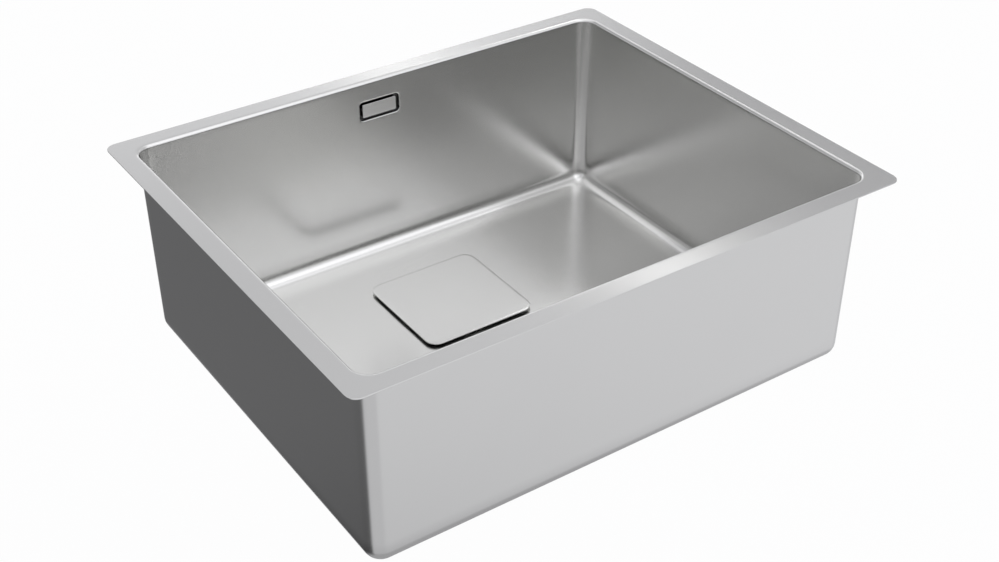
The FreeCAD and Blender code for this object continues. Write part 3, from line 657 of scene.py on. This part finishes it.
dressNode("overflow_plate", plateParts(plateShape), "root", "plate_chrome", 50, name="overflow_front")
print("cover and overflow plate made")


# Sound pad glued under the floor.

padLow, padHigh = boxOf("sound_pad")
padShape = dict(corner=20.0, hole=70.0, edge=0.5)


def padParts(s):
    # Rows: the top and bottom outlines outside, then the same two round the hole, closed into a ring.
    # Each point of the hole lies on the ray from the drain through its outline point.
    low, high = padLow[2], padHigh[2]
    side = np.linspace(0, 1, 40)
    turn = np.linspace(0, quarterTurn, 9)
    loop, outward = roundedLoop(padHigh[0], padHigh[1], s["corner"], side, side, turn)
    angle = np.arctan2(loop[:, 1] - drainY, loop[:, 0])
    hole = s["hole"] * np.stack([np.cos(angle), np.sin(angle)], axis=1) + np.array([0, drainY])
    e = s["edge"]
    eased = loop - e * outward
    rows = [(eased, high), (loop, high - e), (loop, low + e), (eased, low), (hole, low), (hole, high)]
    return [asGrid(levelRows(rows), closeRows=True)]


dressNode("sound_pad", padParts(padShape), "root", "pad_rubber", 60)


# Strainer cup: its inner face as a sheet, with the outlet holes in its floor.

cupShape = dict(sheet=0.8, bore=41.0, bend=3.8, foot=5.0, floorEdge=33.0, floorHub=13.0, screwLand=8.0,
                screwHole=3.3, holes=8, holeRadius=4.5, holeCircle=23.0)


def cupParts(s):
    # The wall is a lathe of the flange, the bend and the foot; the floor is level over (radius, angle).
    floor = strainerLow[2] + s["sheet"]
    steps = 12 * s["holes"]
    wall = roundCorners([(strainerHigh[0], floorZ), (s["bore"], floorZ, s["bend"]),
                         (s["bore"], floor, s["foot"]), (s["floorEdge"], floor)], 7)
    holed = sectorWithHole(polarSurface(lambda u: u, lambda u: 0 * u + floor),
                           np.linspace(s["floorEdge"], s["floorHub"], 11), s["holes"], 12, (2, 8, 2, 10),
                           (s["holeRadius"], s["holeRadius"], s["holeRadius"] - 0.01),
                           lambda u: 0 * u + s["holeCircle"])
    middle = np.array([[radius, floor] for radius in (s["floorHub"], s["screwLand"], s["screwHole"])])
    return [lathe(wall, steps, closeRows=False), holed, lathe(middle, steps, closeRows=False)]


dressNode("strainer_cup", placed(cupParts(cupShape), drain), "root", "fitting_steel", 45,
          [sheetOf(cupShape["sheet"])], sheetUp=True)


# Seals of the strainer and the body: each is a small closed profile turned about the drain.

sealShapes = {"strainer_seal": dict(inner=46.0, edge=0.3), "body_seal": dict(inner=45.8, edge=0.8)}
for node, shape in sealShapes.items():
    sealLow, sealHigh = boxOf(node)
    edge = shape["edge"]
    section = tubeProfile(shape["inner"], sealHigh[0], sealLow[2], sealHigh[2], edge, edge, 4)
    dressNode(node, [lathe(section, 96, drain)], "root", "seal_rubber")


# Waste body: moulded cup with a threaded outlet, the overflow inlet, and the clamping boss on four webs.

bodyLow, bodyHigh = boxOf("waste_body")
bodyShape = dict(flange=56.0, flangeThick=3.5, wall=47.5, bore=45.3, wallEnd=-248.8, bend=6.0,
                 coneWall=1.1, outlet=23.9, outletTop=-263.8, outletBore=19.8, chamfer=1.0, pitch=2.309,
                 threadDepth=1.1, threadStart=1.2, threadStop=2.5, inletZ=-239.8, inletStart=-29.8,
                 neck=14.0, boss=8.5, bossEnd=-254.8, bossTop=-231.8, bossBore=3.3, pocket=5.05,
                 pocketTop=-241.8, webs=4, webThick=2.2, webTop=-245.8, webBite=0.8, webRoot=1.0)
spigotShape = dict(thread=15.0, length=20.0, grip=12.0, bore=11.2, cone=2.4, passage=9.0, pitch=2.6,
                   threadDepth=0.8, threadStart=1.5, threadStop=0.6, edge=0.8)


def threadGroove(low, high, nearRadius, pitch, depth):
    # r is lowered by depth * (0.5 - 0.5 cos(2 pi h / pitch + a)), fading out over one pitch at both ends.
    def groove(angle, height, radius):
        fade = np.clip((height - low) / pitch, 0, 1) * np.clip((high - height) / pitch, 0, 1)
        wave = 0.5 - 0.5 * np.cos(fullTurn * height / pitch + angle)
        return -depth * fade * wave * (np.abs(radius - nearRadius) < 0.01)
    return groove


def fineRows(profile, radius, low, high, step):
    # Extra points along the profile's straight run at the given radius: the rows that a thread moves.
    for number in range(len(profile) - 1):
        start, end = profile[number], profile[number + 1]
        run = abs(start[1] - end[1])
        if abs(start[0] - radius) < 0.01 and abs(end[0] - radius) < 0.01 and run > (high - low) * 0.6:
            rows = start + np.linspace(0, 1, int(run / step))[:, None] * (end - start)
            return np.concatenate([profile[:number], rows, profile[number + 2:]])
    return profile


def spigotPart(s, start, neck, place, facing):
    # Threaded stub with a cone for the washer and a socket for the pipe; its mouth is at height 0.
    low = -s["length"]
    corners = [(neck, start), (neck, low), (s["thread"], low, 0.5), (s["thread"], 0, s["edge"]),
               (s["bore"] + s["cone"], 0), (s["bore"], -s["cone"]), (s["bore"], -s["grip"]),
               (s["passage"], -s["grip"]), (s["passage"], start)]
    profile = fineRows(roundCorners(corners, 3), s["thread"], low, 0, s["pitch"] / 8)
    groove = threadGroove(low + s["threadStart"], -s["threadStop"], s["thread"], s["pitch"], s["threadDepth"])
    return lathe(profile, 80, place, facing, groove)


def webParts(s, turn):
    # A flat web from the boss to the cone: its outline, turned, and pushed both ways by half its thickness.
    slope = (s["bore"] - s["outletBore"]) / (s["wallEnd"] - s["outletTop"])
    reach = s["bore"] + slope * (s["bossEnd"] - s["wallEnd"] - s["coneWall"]) + s["webBite"]
    root, tip = s["boss"] - s["webRoot"], s["bore"] + s["webBite"]
    outline = np.array([(root, s["bossEnd"]), (reach, s["bossEnd"]), (tip, s["wallEnd"] + s["coneWall"]),
                        (tip, s["webTop"]), (root, s["webTop"])])
    along = np.array([math.cos(turn), math.sin(turn), 0])
    across = np.array([-math.sin(turn), math.cos(turn), 0]) * s["webThick"] / 2
    middle = outline[:, :1] * along + outline[:, 1:] * np.array([0, 0, 1]) + np.array(drain)
    sides = np.stack([middle - across, middle + across])
    cap = np.arange(5)[None]
    return [asGrid(sides), (sides[0], cap[:, ::-1]), (sides[1], cap)]


def wasteParts(s):
    # Cup, cone and outlet are one lathe with a thread groove, and the boss is another. Webs and inlet join.
    under = bodyHigh[2] - s["flangeThick"]
    end = bodyLow[2]
    innerBend = s["bend"] - (s["wall"] - s["bore"])
    corners = [(s["flange"], bodyHigh[2], 0.6), (s["flange"], under, 0.6), (s["wall"], under, 1.5),
               (s["wall"], s["wallEnd"], s["bend"]), (s["outlet"], s["outletTop"], 1.5),
               (s["outlet"], end + s["chamfer"]), (s["outlet"] - s["chamfer"], end), (s["outletBore"], end),
               (s["outletBore"], s["outletTop"] + s["coneWall"], 2),
               (s["bore"], s["wallEnd"] + s["coneWall"], innerBend), (s["bore"], bodyHigh[2])]
    profile = fineRows(roundCorners(corners, 5), s["outlet"], end, s["outletTop"], s["pitch"] / 8)
    groove = threadGroove(end + s["threadStart"], s["outletTop"] - s["threadStop"], s["outlet"], s["pitch"],
                          s["threadDepth"])
    boss = roundCorners([(s["bossBore"], s["bossTop"]), (s["boss"], s["bossTop"], 0.4),
                         (s["boss"], s["bossEnd"], 0.4), (s["pocket"], s["bossEnd"]),
                         (s["pocket"], s["pocketTop"]), (s["bossBore"], s["pocketTop"])])
    parts = [lathe(profile, 128, drain, radial=groove), lathe(boss, 64, drain)]
    for number in range(s["webs"]):
        parts += webParts(s, (number + 0.5) * fullTurn / s["webs"])
    parts.append(spigotPart(spigotShape, s["inletStart"], s["neck"], (0, bodyHigh[1], s["inletZ"]), "back"))
    return parts


dressNode("waste_body", wasteParts(bodyShape), "root", "waste_plastic", 35)
print("waste body made")


# Screws and their brass nut.

crossShares = dict(side=0.2, edge=0.72, top=0.7, length=0.55, width=0.13, depth=0.5)


def crossScrew(place, facing, head, height, shank, length, pitch):
    # Pan head: the cap is z = height less a cross recess, depth * max of two soft boxes, with its sizes
    # as shares of the head's radius; the shank is a lathe with a thread groove.
    c = crossShares
    outer = roundCorners([(0, -length), (shank - 0.4, -length), (shank, -length + 0.5), (shank, 0), (head, 0),
                          (head, head * c["side"], 0.3), (head * c["edge"], height),
                          (head * c["top"], height)], 3)
    outer = fineRows(outer, shank, -length, 0, pitch / 6)
    groove = threadGroove(0.2 - length, -1.0, shank, pitch, pitch * 0.5)
    radius = np.linspace(head * c["top"], 0, 24)[:, None]
    angle = np.arange(96) * fullTurn / 96
    flatX = radius * np.cos(angle)
    flatY = radius * np.sin(angle)

    def softBox(along, across):
        return (np.clip((head * c["length"] - np.abs(along)) / 0.25, 0, 1)
                * np.clip((head * c["width"] - np.abs(across)) / 0.2, 0, 1))

    cross = np.maximum(softBox(flatX, flatY), softBox(flatY, flatX))
    cap = np.stack([flatX, flatY, height - height * c["depth"] * cross], axis=-1)
    return placed([lathe(outer, 48, radial=groove, closeRows=False), asGrid(cap)], place, facing)


clampShape = dict(head=6.0, height=4.0, shank=3.0, length=30.0, pitch=1.0)
rearShape = dict(head=4.75, height=3.4, shank=2.5, length=35.6, pitch=1.6)
clampHigh = boxOf("clamp_screw")[1]
rearLow, rearHigh = boxOf("overflow_screw")
overflowZ = (rearLow[2] + rearHigh[2]) / 2
clampSeat = (0, drainY, clampHigh[2] - clampShape["height"])
rearSeat = (0, rearHigh[1] - rearShape["height"], overflowZ)
dressNode("clamp_screw", crossScrew(clampSeat, "up", **clampShape), "root", "screw_steel", 35)
dressNode("overflow_screw", crossScrew(rearSeat, "back", **rearShape), "root", "screw_steel", 35)

insertShape = dict(bore=3.05, radius=5.0, knurls=24, knurlDepth=0.22, waist=1.0)
insertLow, insertHigh = boxOf("insert_nut")


def insertParts(s):
    # Knurled sleeve: r is lowered by depth * |sin(n a / 2)| in two bands.
    low, high = insertLow[2], insertHigh[2]
    profile = tubeProfile(s["bore"], s["radius"], low, high, 0, 0.4, 3)
    profile = fineRows(profile, s["radius"], low, high, 0.6)

    def knurl(angle, height, radius):
        band = (radius > s["radius"] - 0.01) & (np.abs(height - (low + high) / 2) > s["waist"])
        return -s["knurlDepth"] * np.abs(np.sin(angle * s["knurls"] / 2)) * band

    return [lathe(profile, 192, drain, radial=knurl)]


dressNode("insert_nut", insertParts(insertShape), "root", "nut_brass", 30)
print("screws made")


# Overflow: seal, head, pipe and the two unions.

seatShape = dict(halfX=20.0, halfZ=8.5, corner=4.0, land=2.6, edge=0.3)


def overflowSealParts(s):
    # The ring's section carried round a rounded rectangle, closed on itself.
    low, high = boxOf("overflow_seal")
    thick = high[1] - low[1]
    loop, outward = plainLoop(s["halfX"], s["halfZ"], s["corner"], 6)
    section = tubeProfile(-s["land"], 0, 0, thick, 0, s["edge"], 3)
    return placed([asGrid(carry(loop, outward, section), closeRows=True)], (0, low[1], overflowZ), "back")


dressNode("overflow_seal", overflowSealParts(seatShape), "root", "seal_rubber")

headShape = dict(halfX=23.0, halfZ=13.0, corner=5.0, wall=2.5, edge=0.4, lid=1.5, front=206.5, back=241.0,
                 mouthX=17.4, mouthZ=5.9, mouthCorner=2.0, pipeY=225.0, spigotEnd=-63.8, boss=4.5,
                 bossFront=213.4, bossBore=2.8)


def headParts(s):
    # Box: one profile (offset, depth) carried round the rounded rectangle and over the back, one for its
    # inside, and the mouth's rows in front; the spigot and the screw boss are lathes.
    deep = s["back"] - s["front"]
    w, e = s["wall"], s["edge"]
    loop, outward = plainLoop(s["halfX"], s["halfZ"], s["corner"], 8)
    turn = np.linspace(0, quarterTurn, 6)
    back = np.stack([-w + w * np.cos(turn), deep - w + w * np.sin(turn)], axis=1)
    outside = np.concatenate([[[-e, 0], [0, e]], back, [[-w - s["lid"], deep]]])
    inside = np.array([[-w, w], [-w, deep - w]])
    eased = loop - e * outward
    mouth = nearestOnOutline(eased, s["mouthX"], s["mouthZ"], s["mouthCorner"])
    front = asGrid(levelRows([(eased, 0.0), (mouth, 0.0), (mouth, w), (loop - w * outward, w)]))
    shell = [part for profile in (outside, inside) for part in slab(loop, outward, profile, openStart=True)]
    bossEnd = s["back"] - s["bossFront"] - 1
    boss = roundCorners([(s["bossBore"], 0), (s["boss"], 0, 0.3), (s["boss"], bossEnd),
                         (s["bossBore"], bossEnd)], 3)
    spigot = spigotPart(spigotShape, -spigotShape["length"] - 2.0, spigotShape["thread"] - 0.02,
                        (0, s["pipeY"], s["spigotEnd"]), "down")
    return placed(shell + [front], (0, s["front"], overflowZ), "back") + [
        spigot, lathe(boss, 40, (0, s["bossFront"], overflowZ), "back")]


dressNode("overflow_head", headParts(headShape), "root", "waste_plastic", 35)

pipeShape = dict(radius=11.0, wall=2.0, bend=40.0, top=-51.8, y=225.0, z=-239.8, front=142.0, steps=48)


def pipeParts(s):
    # A circle carried down a line, round a quarter turn and along a line, outside and in: each point is
    # the centre + r cos a along X + r sin a along the bend's own normal.
    turn = np.linspace(0, quarterTurn, 25)
    down = np.linspace(s["top"], s["z"] + s["bend"], 20)[:-1]
    along = np.linspace(s["y"] - s["bend"], s["front"], 8)[1:]
    y = np.concatenate([0 * down + s["y"], s["y"] - s["bend"] + s["bend"] * np.cos(turn), along])[:, None]
    z = np.concatenate([down, s["z"] + s["bend"] - s["bend"] * np.sin(turn), 0 * along + s["z"]])[:, None]
    tilt = np.concatenate([0 * down, turn, 0 * along + quarterTurn])[:, None]
    angle = np.arange(s["steps"]) * fullTurn / s["steps"]

    def tube(radius):
        return np.stack([radius * np.cos(angle) + 0 * y, y + radius * np.sin(angle) * np.cos(tilt),
                         z - radius * np.sin(angle) * np.sin(tilt)], axis=-1)

    rows = np.concatenate([tube(s["radius"]), tube(s["radius"] - s["wall"])[::-1]])
    return [asGrid(rows, closeRows=True)]


dressNode("overflow_pipe", pipeParts(pipeShape), "root", "waste_plastic", 50)

unionShape = dict(thread=15.1, radius=19.0, reach=12.0, rim=2.0, end=2.5, bore=11.2, ribs=12, rib=1.2,
                  ribWidth=2.4, washerBore=11.05, cone=2.4, coneFoot=11.2, coneTop=13.6, washer=14.5)


def nutPart(s, place, facing):
    # Nut with grip ribs: r grows by rib * a clipped ramp of the distance to the nearest rib's middle.
    top = s["rim"] + s["end"]
    low = -s["reach"]
    profile = roundCorners([(s["thread"], low), (s["radius"], low, 1.0), (s["radius"], top, 1.8),
                            (s["bore"], top), (s["bore"], s["rim"]), (s["thread"], s["rim"])], 5)
    profile = fineRows(profile, s["radius"], low, top, 0.7)

    def ribs(angle, height, radius):
        pitch = fullTurn / s["ribs"]
        away = np.abs((angle + pitch / 2) % pitch - pitch / 2) * s["radius"]
        share = np.clip((s["ribWidth"] / 2 + 0.25 - away) / 0.5, 0, 1)
        ends = np.clip((height - low - 1.2) / 0.6, 0, 1) * np.clip((top - 1.9 - height) / 0.8, 0, 1)
        return s["rib"] * share * ends * (radius > s["radius"] - 0.01)

    return lathe(profile, 240, place, facing, ribs)


def washerPart(s, place, facing):
    # Cone washer: a closed profile with a cone that goes into the spigot.
    profile = np.array([(s["washerBore"], -s["cone"]), (s["coneFoot"], -s["cone"]), (s["coneTop"], 0.0),
                        (s["washer"], 0.0), (s["washer"], s["rim"]), (s["washerBore"], s["rim"])])
    return lathe(profile, 72, place, facing)


unions = {"head": ((0, headShape["pipeY"], headShape["spigotEnd"]), "down"),
          "inlet": ((0, bodyHigh[1], bodyShape["inletZ"]), "back")}
for end, (place, facing) in unions.items():
    dressNode(end + "_union_nut", [nutPart(unionShape, place, facing)], "root", "nut_plastic", 35)
    dressNode(end + "_cone_washer", [washerPart(unionShape, place, facing)], "root", "seal_rubber", 30)
print("overflow made")


# Basket: perforated cup, its lifting collar, the sleeve under it and the stopper.

basketFoot = boxOf("basket_cup")[0][2]
basketShape = dict(sheet=0.6, rim=-194.0, wallTop=37.6, wallBottom=35.2, foot=4.0, hole=7.95, curl=0.83,
                   curlRadius=37.75, slots=24, slotWidth=2.6, slotEnds=6.0, floorSlots=16,
                   floorSlotWidth=3.0, floorSlotStart=15.5, floorSlotEnd=28.7)


def basketParts(s):
    # Wall and floor as sheets over (height, angle) and (radius, angle), each with a rounded slot in every
    # sector; the foot between them is a lathe.
    under = basketFoot
    topZ, footZ = s["rim"], under + s["foot"]
    steps = 192

    def wallRadius(z):
        return s["wallBottom"] + (s["wallTop"] - s["wallBottom"]) * (z - under) / (topZ - under)

    def slotOf(width, length):
        return width / 2, length / 2, width / 2 - 0.01

    slotTop, slotFoot = topZ - s["slotEnds"], under + s["sheet"] + s["slotEnds"]
    high = np.concatenate([[topZ, (topZ + slotTop + 1) / 2], np.linspace(slotTop + 1, slotFoot - 1, 12),
                           [footZ + 1]])
    wall = sectorWithHole(polarSurface(wallRadius, lambda z: z), high, s["slots"], steps // s["slots"],
                          (2, 13, 2, 6), slotOf(s["slotWidth"], slotTop - slotFoot),
                          lambda z: 0 * z + wallRadius((slotTop + slotFoot) / 2))
    corner = roundCorners([(wallRadius(footZ + 1), footZ + 1), (s["wallBottom"], under, s["foot"] - 0.2),
                           (s["wallBottom"] - s["foot"] - 1, under)], 8)
    start, end = s["floorSlotStart"], s["floorSlotEnd"]
    radii = np.concatenate([[corner[-1][0]], np.linspace(end + 0.8, start - 0.8, 10),
                            [s["hole"] + 2, s["hole"]]])
    floor = sectorWithHole(polarSurface(lambda u: u, lambda u: 0 * u + under), radii, s["floorSlots"],
                           steps // s["floorSlots"], (1, 10, 2, 10), slotOf(s["floorSlotWidth"], end - start),
                           lambda u: u)
    return placed([wall, lathe(corner, steps, closeRows=False), floor], drain)


def torus(radius, section, height, steps):
    # (R + r cos t, h + r sin t) turned about the drain.
    turn = np.arange(16) * fullTurn / 16
    circle = np.stack([radius + section * np.cos(turn), height + section * np.sin(turn)], axis=1)
    return lathe(circle, steps, drain)


dressNode("basket_cup", basketParts(basketShape), "basket", "fitting_steel", 45,
          [sheetOf(basketShape["sheet"], 1.0)], sheetUp=True)
rimCurl = torus(basketShape["curlRadius"], basketShape["curl"], basketShape["rim"], 96)
makePiece("basket_rim_skin", [rimCurl], "basket", "fitting_steel")

collarShape = dict(socket=7.95, foot=13.0, footThick=1.6, neck=10.2, shoulder=-215.65, waist=8.4,
                   grip=11.0, lip=3.2, bore=5.5, boreZ=-208.0, step=3.5)
sleeveShape = dict(bore=6.3, flange=15.0, flangeTop=-229.5, neck=7.9, shoulder=11.0, shoulderTop=-227.3)
stopperShape = dict(bore=7.95, radius=34.0, lip=3.0, flangeTop=-229.5, lipThick=1.1)
stemShape = dict(radius=5.2, chamfer=1.0, groove=3.75, grooveHalf=0.85, shoulder=-190.7, grip=11.0,
                 disc=24.0, discThick=1.6)
ringShape = dict(radius=4.6, section=0.73)
ringLow, ringHigh = boxOf("cover_ring")
ringZ = (ringLow[2] + ringHigh[2]) / 2


def collarProfile(s, low, high):
    # Foot, waisted post with its lip, and the stepped bore that takes the cover's stem.
    return roundCorners([
        (s["socket"], low), (s["foot"], low, 0.3), (s["foot"], low + s["footThick"], 0.5),
        (s["neck"], low + s["footThick"], 0.8), (s["neck"], s["shoulder"], 2.0),
        (s["waist"], (s["shoulder"] + high) / 2, 6.0), (s["grip"], high - s["lip"], 1.0),
        (s["grip"], high, 0.8), (s["bore"], high, 0.5), (s["bore"], s["boreZ"]), (s["step"], s["boreZ"]),
        (s["step"], s["shoulder"]), (s["socket"], s["shoulder"])], 5)


def sleeveProfile(s, low, high):
    # Flange, shoulder under the basket's floor, and the neck that goes up through it.
    return roundCorners([
        (s["bore"], low, 0.3), (s["flange"], low, 0.3), (s["flange"], s["flangeTop"], 0.3),
        (s["neck"], s["flangeTop"]), (s["neck"], s["shoulderTop"]), (s["shoulder"], s["shoulderTop"], 0.4),
        (s["shoulder"], basketFoot), (s["neck"], basketFoot), (s["neck"], high, 0.4), (s["bore"], high)], 4)


def stopperProfile(s, low, high):
    # A disc whose outer lip drops to its lowest edge.
    neck = s["radius"] - s["lip"]
    return roundCorners([
        (s["bore"], s["flangeTop"]), (neck - s["lip"], s["flangeTop"]), (neck, low, 0.4),
        (s["radius"], low, 0.4), (s["radius"], s["flangeTop"] + s["lipThick"], 0.4), (neck, high, 0.8),
        (s["bore"], high)], 4)


def stemProfile(s, low, high):
    # Pin with the ring's groove, the grip above it and the disc under the cover.
    grooveLow, grooveHigh, disc = ringZ - s["grooveHalf"], ringZ + s["grooveHalf"], high - s["discThick"]
    return roundCorners([
        (0, low), (s["radius"] - s["chamfer"], low), (s["radius"], low + s["chamfer"], 0.4),
        (s["radius"], grooveLow), (s["groove"], grooveLow), (s["groove"], grooveHigh),
        (s["radius"], grooveHigh), (s["radius"], s["shoulder"]), (s["grip"], s["shoulder"], 0.5),
        (s["grip"], disc, 0.5), (s["disc"], disc, 0.5), (s["disc"], high), (0, high)], 4)


for node, profile, shape, body, slot, sharp, steps, closed in (
        ("basket_collar", collarProfile, collarShape, "basket", "basket_plastic", 45, 96, True),
        ("basket_sleeve", sleeveProfile, sleeveShape, "basket", "basket_plastic", 35, 96, True),
        ("basket_stopper", stopperProfile, stopperShape, "basket", "seal_rubber", 40, 96, True),
        ("cover_stem", stemProfile, stemShape, "cover", "basket_plastic", 40, 80, False)):
    nodeLow, nodeHigh = boxOf(node)
    outline = profile(shape, nodeLow[2], nodeHigh[2])
    dressNode(node, [lathe(outline, steps, drain, closeRows=closed)], body, slot, sharp)
dressNode("cover_ring", [torus(ringShape["radius"], ringShape["section"], ringZ, 64)], "cover", "seal_rubber")
print("basket and stem made")


# Camera at the photograph's angle, from the lines of the flange and the bowl.

cameraView = dict(place=(-0.6390, -0.9398, 0.6385), tilt=54.244, turn=-34.387, lens=53.683, sensor=36.0,
                  shiftY=0.05)
cameraData = bpy.data.cameras.new("view")
cameraData.lens = cameraView["lens"]
cameraData.sensor_width = cameraView["sensor"]
cameraData.shift_y = cameraView["shiftY"]
cameraData.clip_end = 50
camera = bpy.data.objects.new("view", cameraData)
camera.location = cameraView["place"]
camera.rotation_euler = (math.radians(cameraView["tilt"]), 0, math.radians(cameraView["turn"]))
bpy.context.scene.collection.objects.link(camera)
bpy.context.scene.camera = camera


# Studio: a pale floor that the camera sees white, one bright card, and a world of soft light boxes for
# the steel to mirror. A box is set by its middle azimuth and half width, its middle elevation and half
# height and its soft edge, in degrees, and adds its strength.

studio = dict(floorZ=-0.9, floorHalf=12.0, floorColour=0.75, floorWhite=1.02, floorShare=0.9,
              worldColour=(0.99, 0.99, 1.02), worldBase=0.68,
              card=((0.59, 0.1, 0.60), (0.59, 1.9, 0.60), (0.74, 1.9, 0.68), (0.74, 0.1, 0.68)), cardGlow=2.8,
              boxes=dict(
                  ceiling=(0, 200, 90, 32, 14, 0.6),
                  frontStrip=(-98, 56, 4, 14, 7, 0.4),
                  frontHigh=(-78, 34, 46, 14, 4, 0.77),
                  frontMid=(-64, 22, 21, 6, 4, 0.4),
                  frontLow=(-55, 40, -28, 14, 10, 0.14),
                  backStrip=(76, 26, 20, 6, 4, 0.38),
                  backLow=(54, 18, 5, 7, 4, 0.6),
                  leftLow=(71, 5, 34, 6, 4, -0.06),
                  farHigh=(-127, 16, 42, 10, 3, 0.6),
                  farLow=(-134, 14, 22, 8, 3, -0.3),
                  frontGlow=(53, 4, 36, 4, 4, 0.16),
                  rightGap=(44, 13, 27, 6, 6, -0.26),
                  leftHigh=(128, 18, 36, 12, 8, -0.3),
                  leftShade=(140, 50, -32, 26, 10, -0.53),
                  underShade=(0, 200, -90, 40, 12, -0.25)))


def lightBox(tree, azimuth, elevation, box):
    # strength * rise((azHalf - |az - mid|) / edge) * rise((elHalf - |el - mid|) / edge), in degrees
    middle, half, height, tall, edge, strength = box
    turn = calc(tree, "WRAP", calc(tree, "SUBTRACT", azimuth, middle), 180.0, -180.0)
    lift = calc(tree, "SUBTRACT", elevation, height)
    shares = [softStep(tree, calc(tree, "ABSOLUTE", away), limit + edge, limit - edge)
              for away, limit in ((turn, half), (lift, tall))]
    return calc(tree, "MULTIPLY", calc(tree, "MULTIPLY", *shares), strength)


def makeSheet(name, corners, material, surface):
    # A flat sheet of the studio, with the given shader socket as its surface.
    tree = material.node_tree
    tree.links.new(surface, tree.nodes["Material Output"].inputs["Surface"])
    arrangeNodes(tree)
    mesh = bpy.data.meshes.new(name)
    mesh.from_pydata(corners, [], [(0, 1, 2, 3)])
    mesh.materials.append(material)
    sheet = bpy.data.objects.new(name, mesh)
    bpy.context.scene.collection.objects.link(sheet)
    return sheet


def makeFloor(s):
    # Seen from above it's pale and white to the camera, and from below it's clear. Mirrors don't see it.
    half, z = s["floorHalf"], s["floorZ"]
    material, tree = newMaterial("pale floor", {
        "Base Color": (s["floorColour"],) * 3 + (1,), "Roughness": 0.9, "Specular IOR Level": 0.0})
    share = calc(tree, "MULTIPLY", addNode(tree, "LightPath").outputs["Is Camera Ray"], s["floorShare"])
    glow = addNode(tree, "Emission", None, {"Color": (1, 1, 1, 1), "Strength": s["floorWhite"]})
    pale = tree.nodes["Principled BSDF"]
    above = addNode(tree, "MixShader", None, {0: share, 1: pale.outputs[0], 2: glow.outputs[0]})
    clear = addNode(tree, "BsdfTransparent")
    below = addNode(tree, "NewGeometry").outputs["Backfacing"]
    both = addNode(tree, "MixShader", None, {0: below, 1: above.outputs[0], 2: clear.outputs[0]})
    corners = [(-half, -half, z), (half, -half, z), (half, half, z), (-half, half, z)]
    floor = makeSheet("studio floor", corners, material, both.outputs[0])
    floor.visible_glossy = False


def makeWorld(s):
    # The camera sees plain white, and everything else the base light with all the boxes.
    world = bpy.data.worlds.new("studio")
    bpy.context.scene.world = world
    world.use_nodes = True
    tree = world.node_tree
    back = tree.nodes["Background"]
    split = addNode(tree, "SeparateXYZ", None, {0: addNode(tree, "TexCoord").outputs["Generated"]}).outputs
    azimuth = calc(tree, "DEGREES", calc(tree, "ARCTAN2", split["Y"], split["X"]))
    elevation = calc(tree, "DEGREES", calc(tree, "ARCSINE", split["Z"]))
    total = s["worldBase"]
    for box in s["boxes"].values():
        total = calc(tree, "ADD", total, lightBox(tree, azimuth, elevation, box))
    tree.links.new(total, back.inputs["Strength"])
    back.inputs["Color"].default_value = s["worldColour"] + (1,)
    white = addNode(tree, "Background", None, {"Color": (1, 1, 1, 1), "Strength": 1.0})
    seen = addNode(tree, "LightPath").outputs["Is Camera Ray"]
    mix = addNode(tree, "MixShader", None, {0: seen, 1: back.outputs[0], 2: white.outputs[0]})
    tree.links.new(mix.outputs[0], tree.nodes["World Output"].inputs["Surface"])
    arrangeNodes(tree)


def makeCard(s):
    # A plain bright card that only mirrors see.
    material, tree = newMaterial("streak card", {})
    glow = addNode(tree, "Emission", None, {"Color": (1, 1, 1, 1), "Strength": s["cardGlow"]})
    material.cycles.emission_sampling = "NONE"
    card = makeSheet("streak card", s["card"], material, glow.outputs[0])
    card.visible_camera = False
    card.visible_diffuse = False
    card.visible_shadow = False
    card.visible_transmission = False


makeFloor(studio)
makeWorld(studio)
makeCard(studio)
print("camera and studio made")

bpy.context.scene.view_settings.view_transform = "Standard"
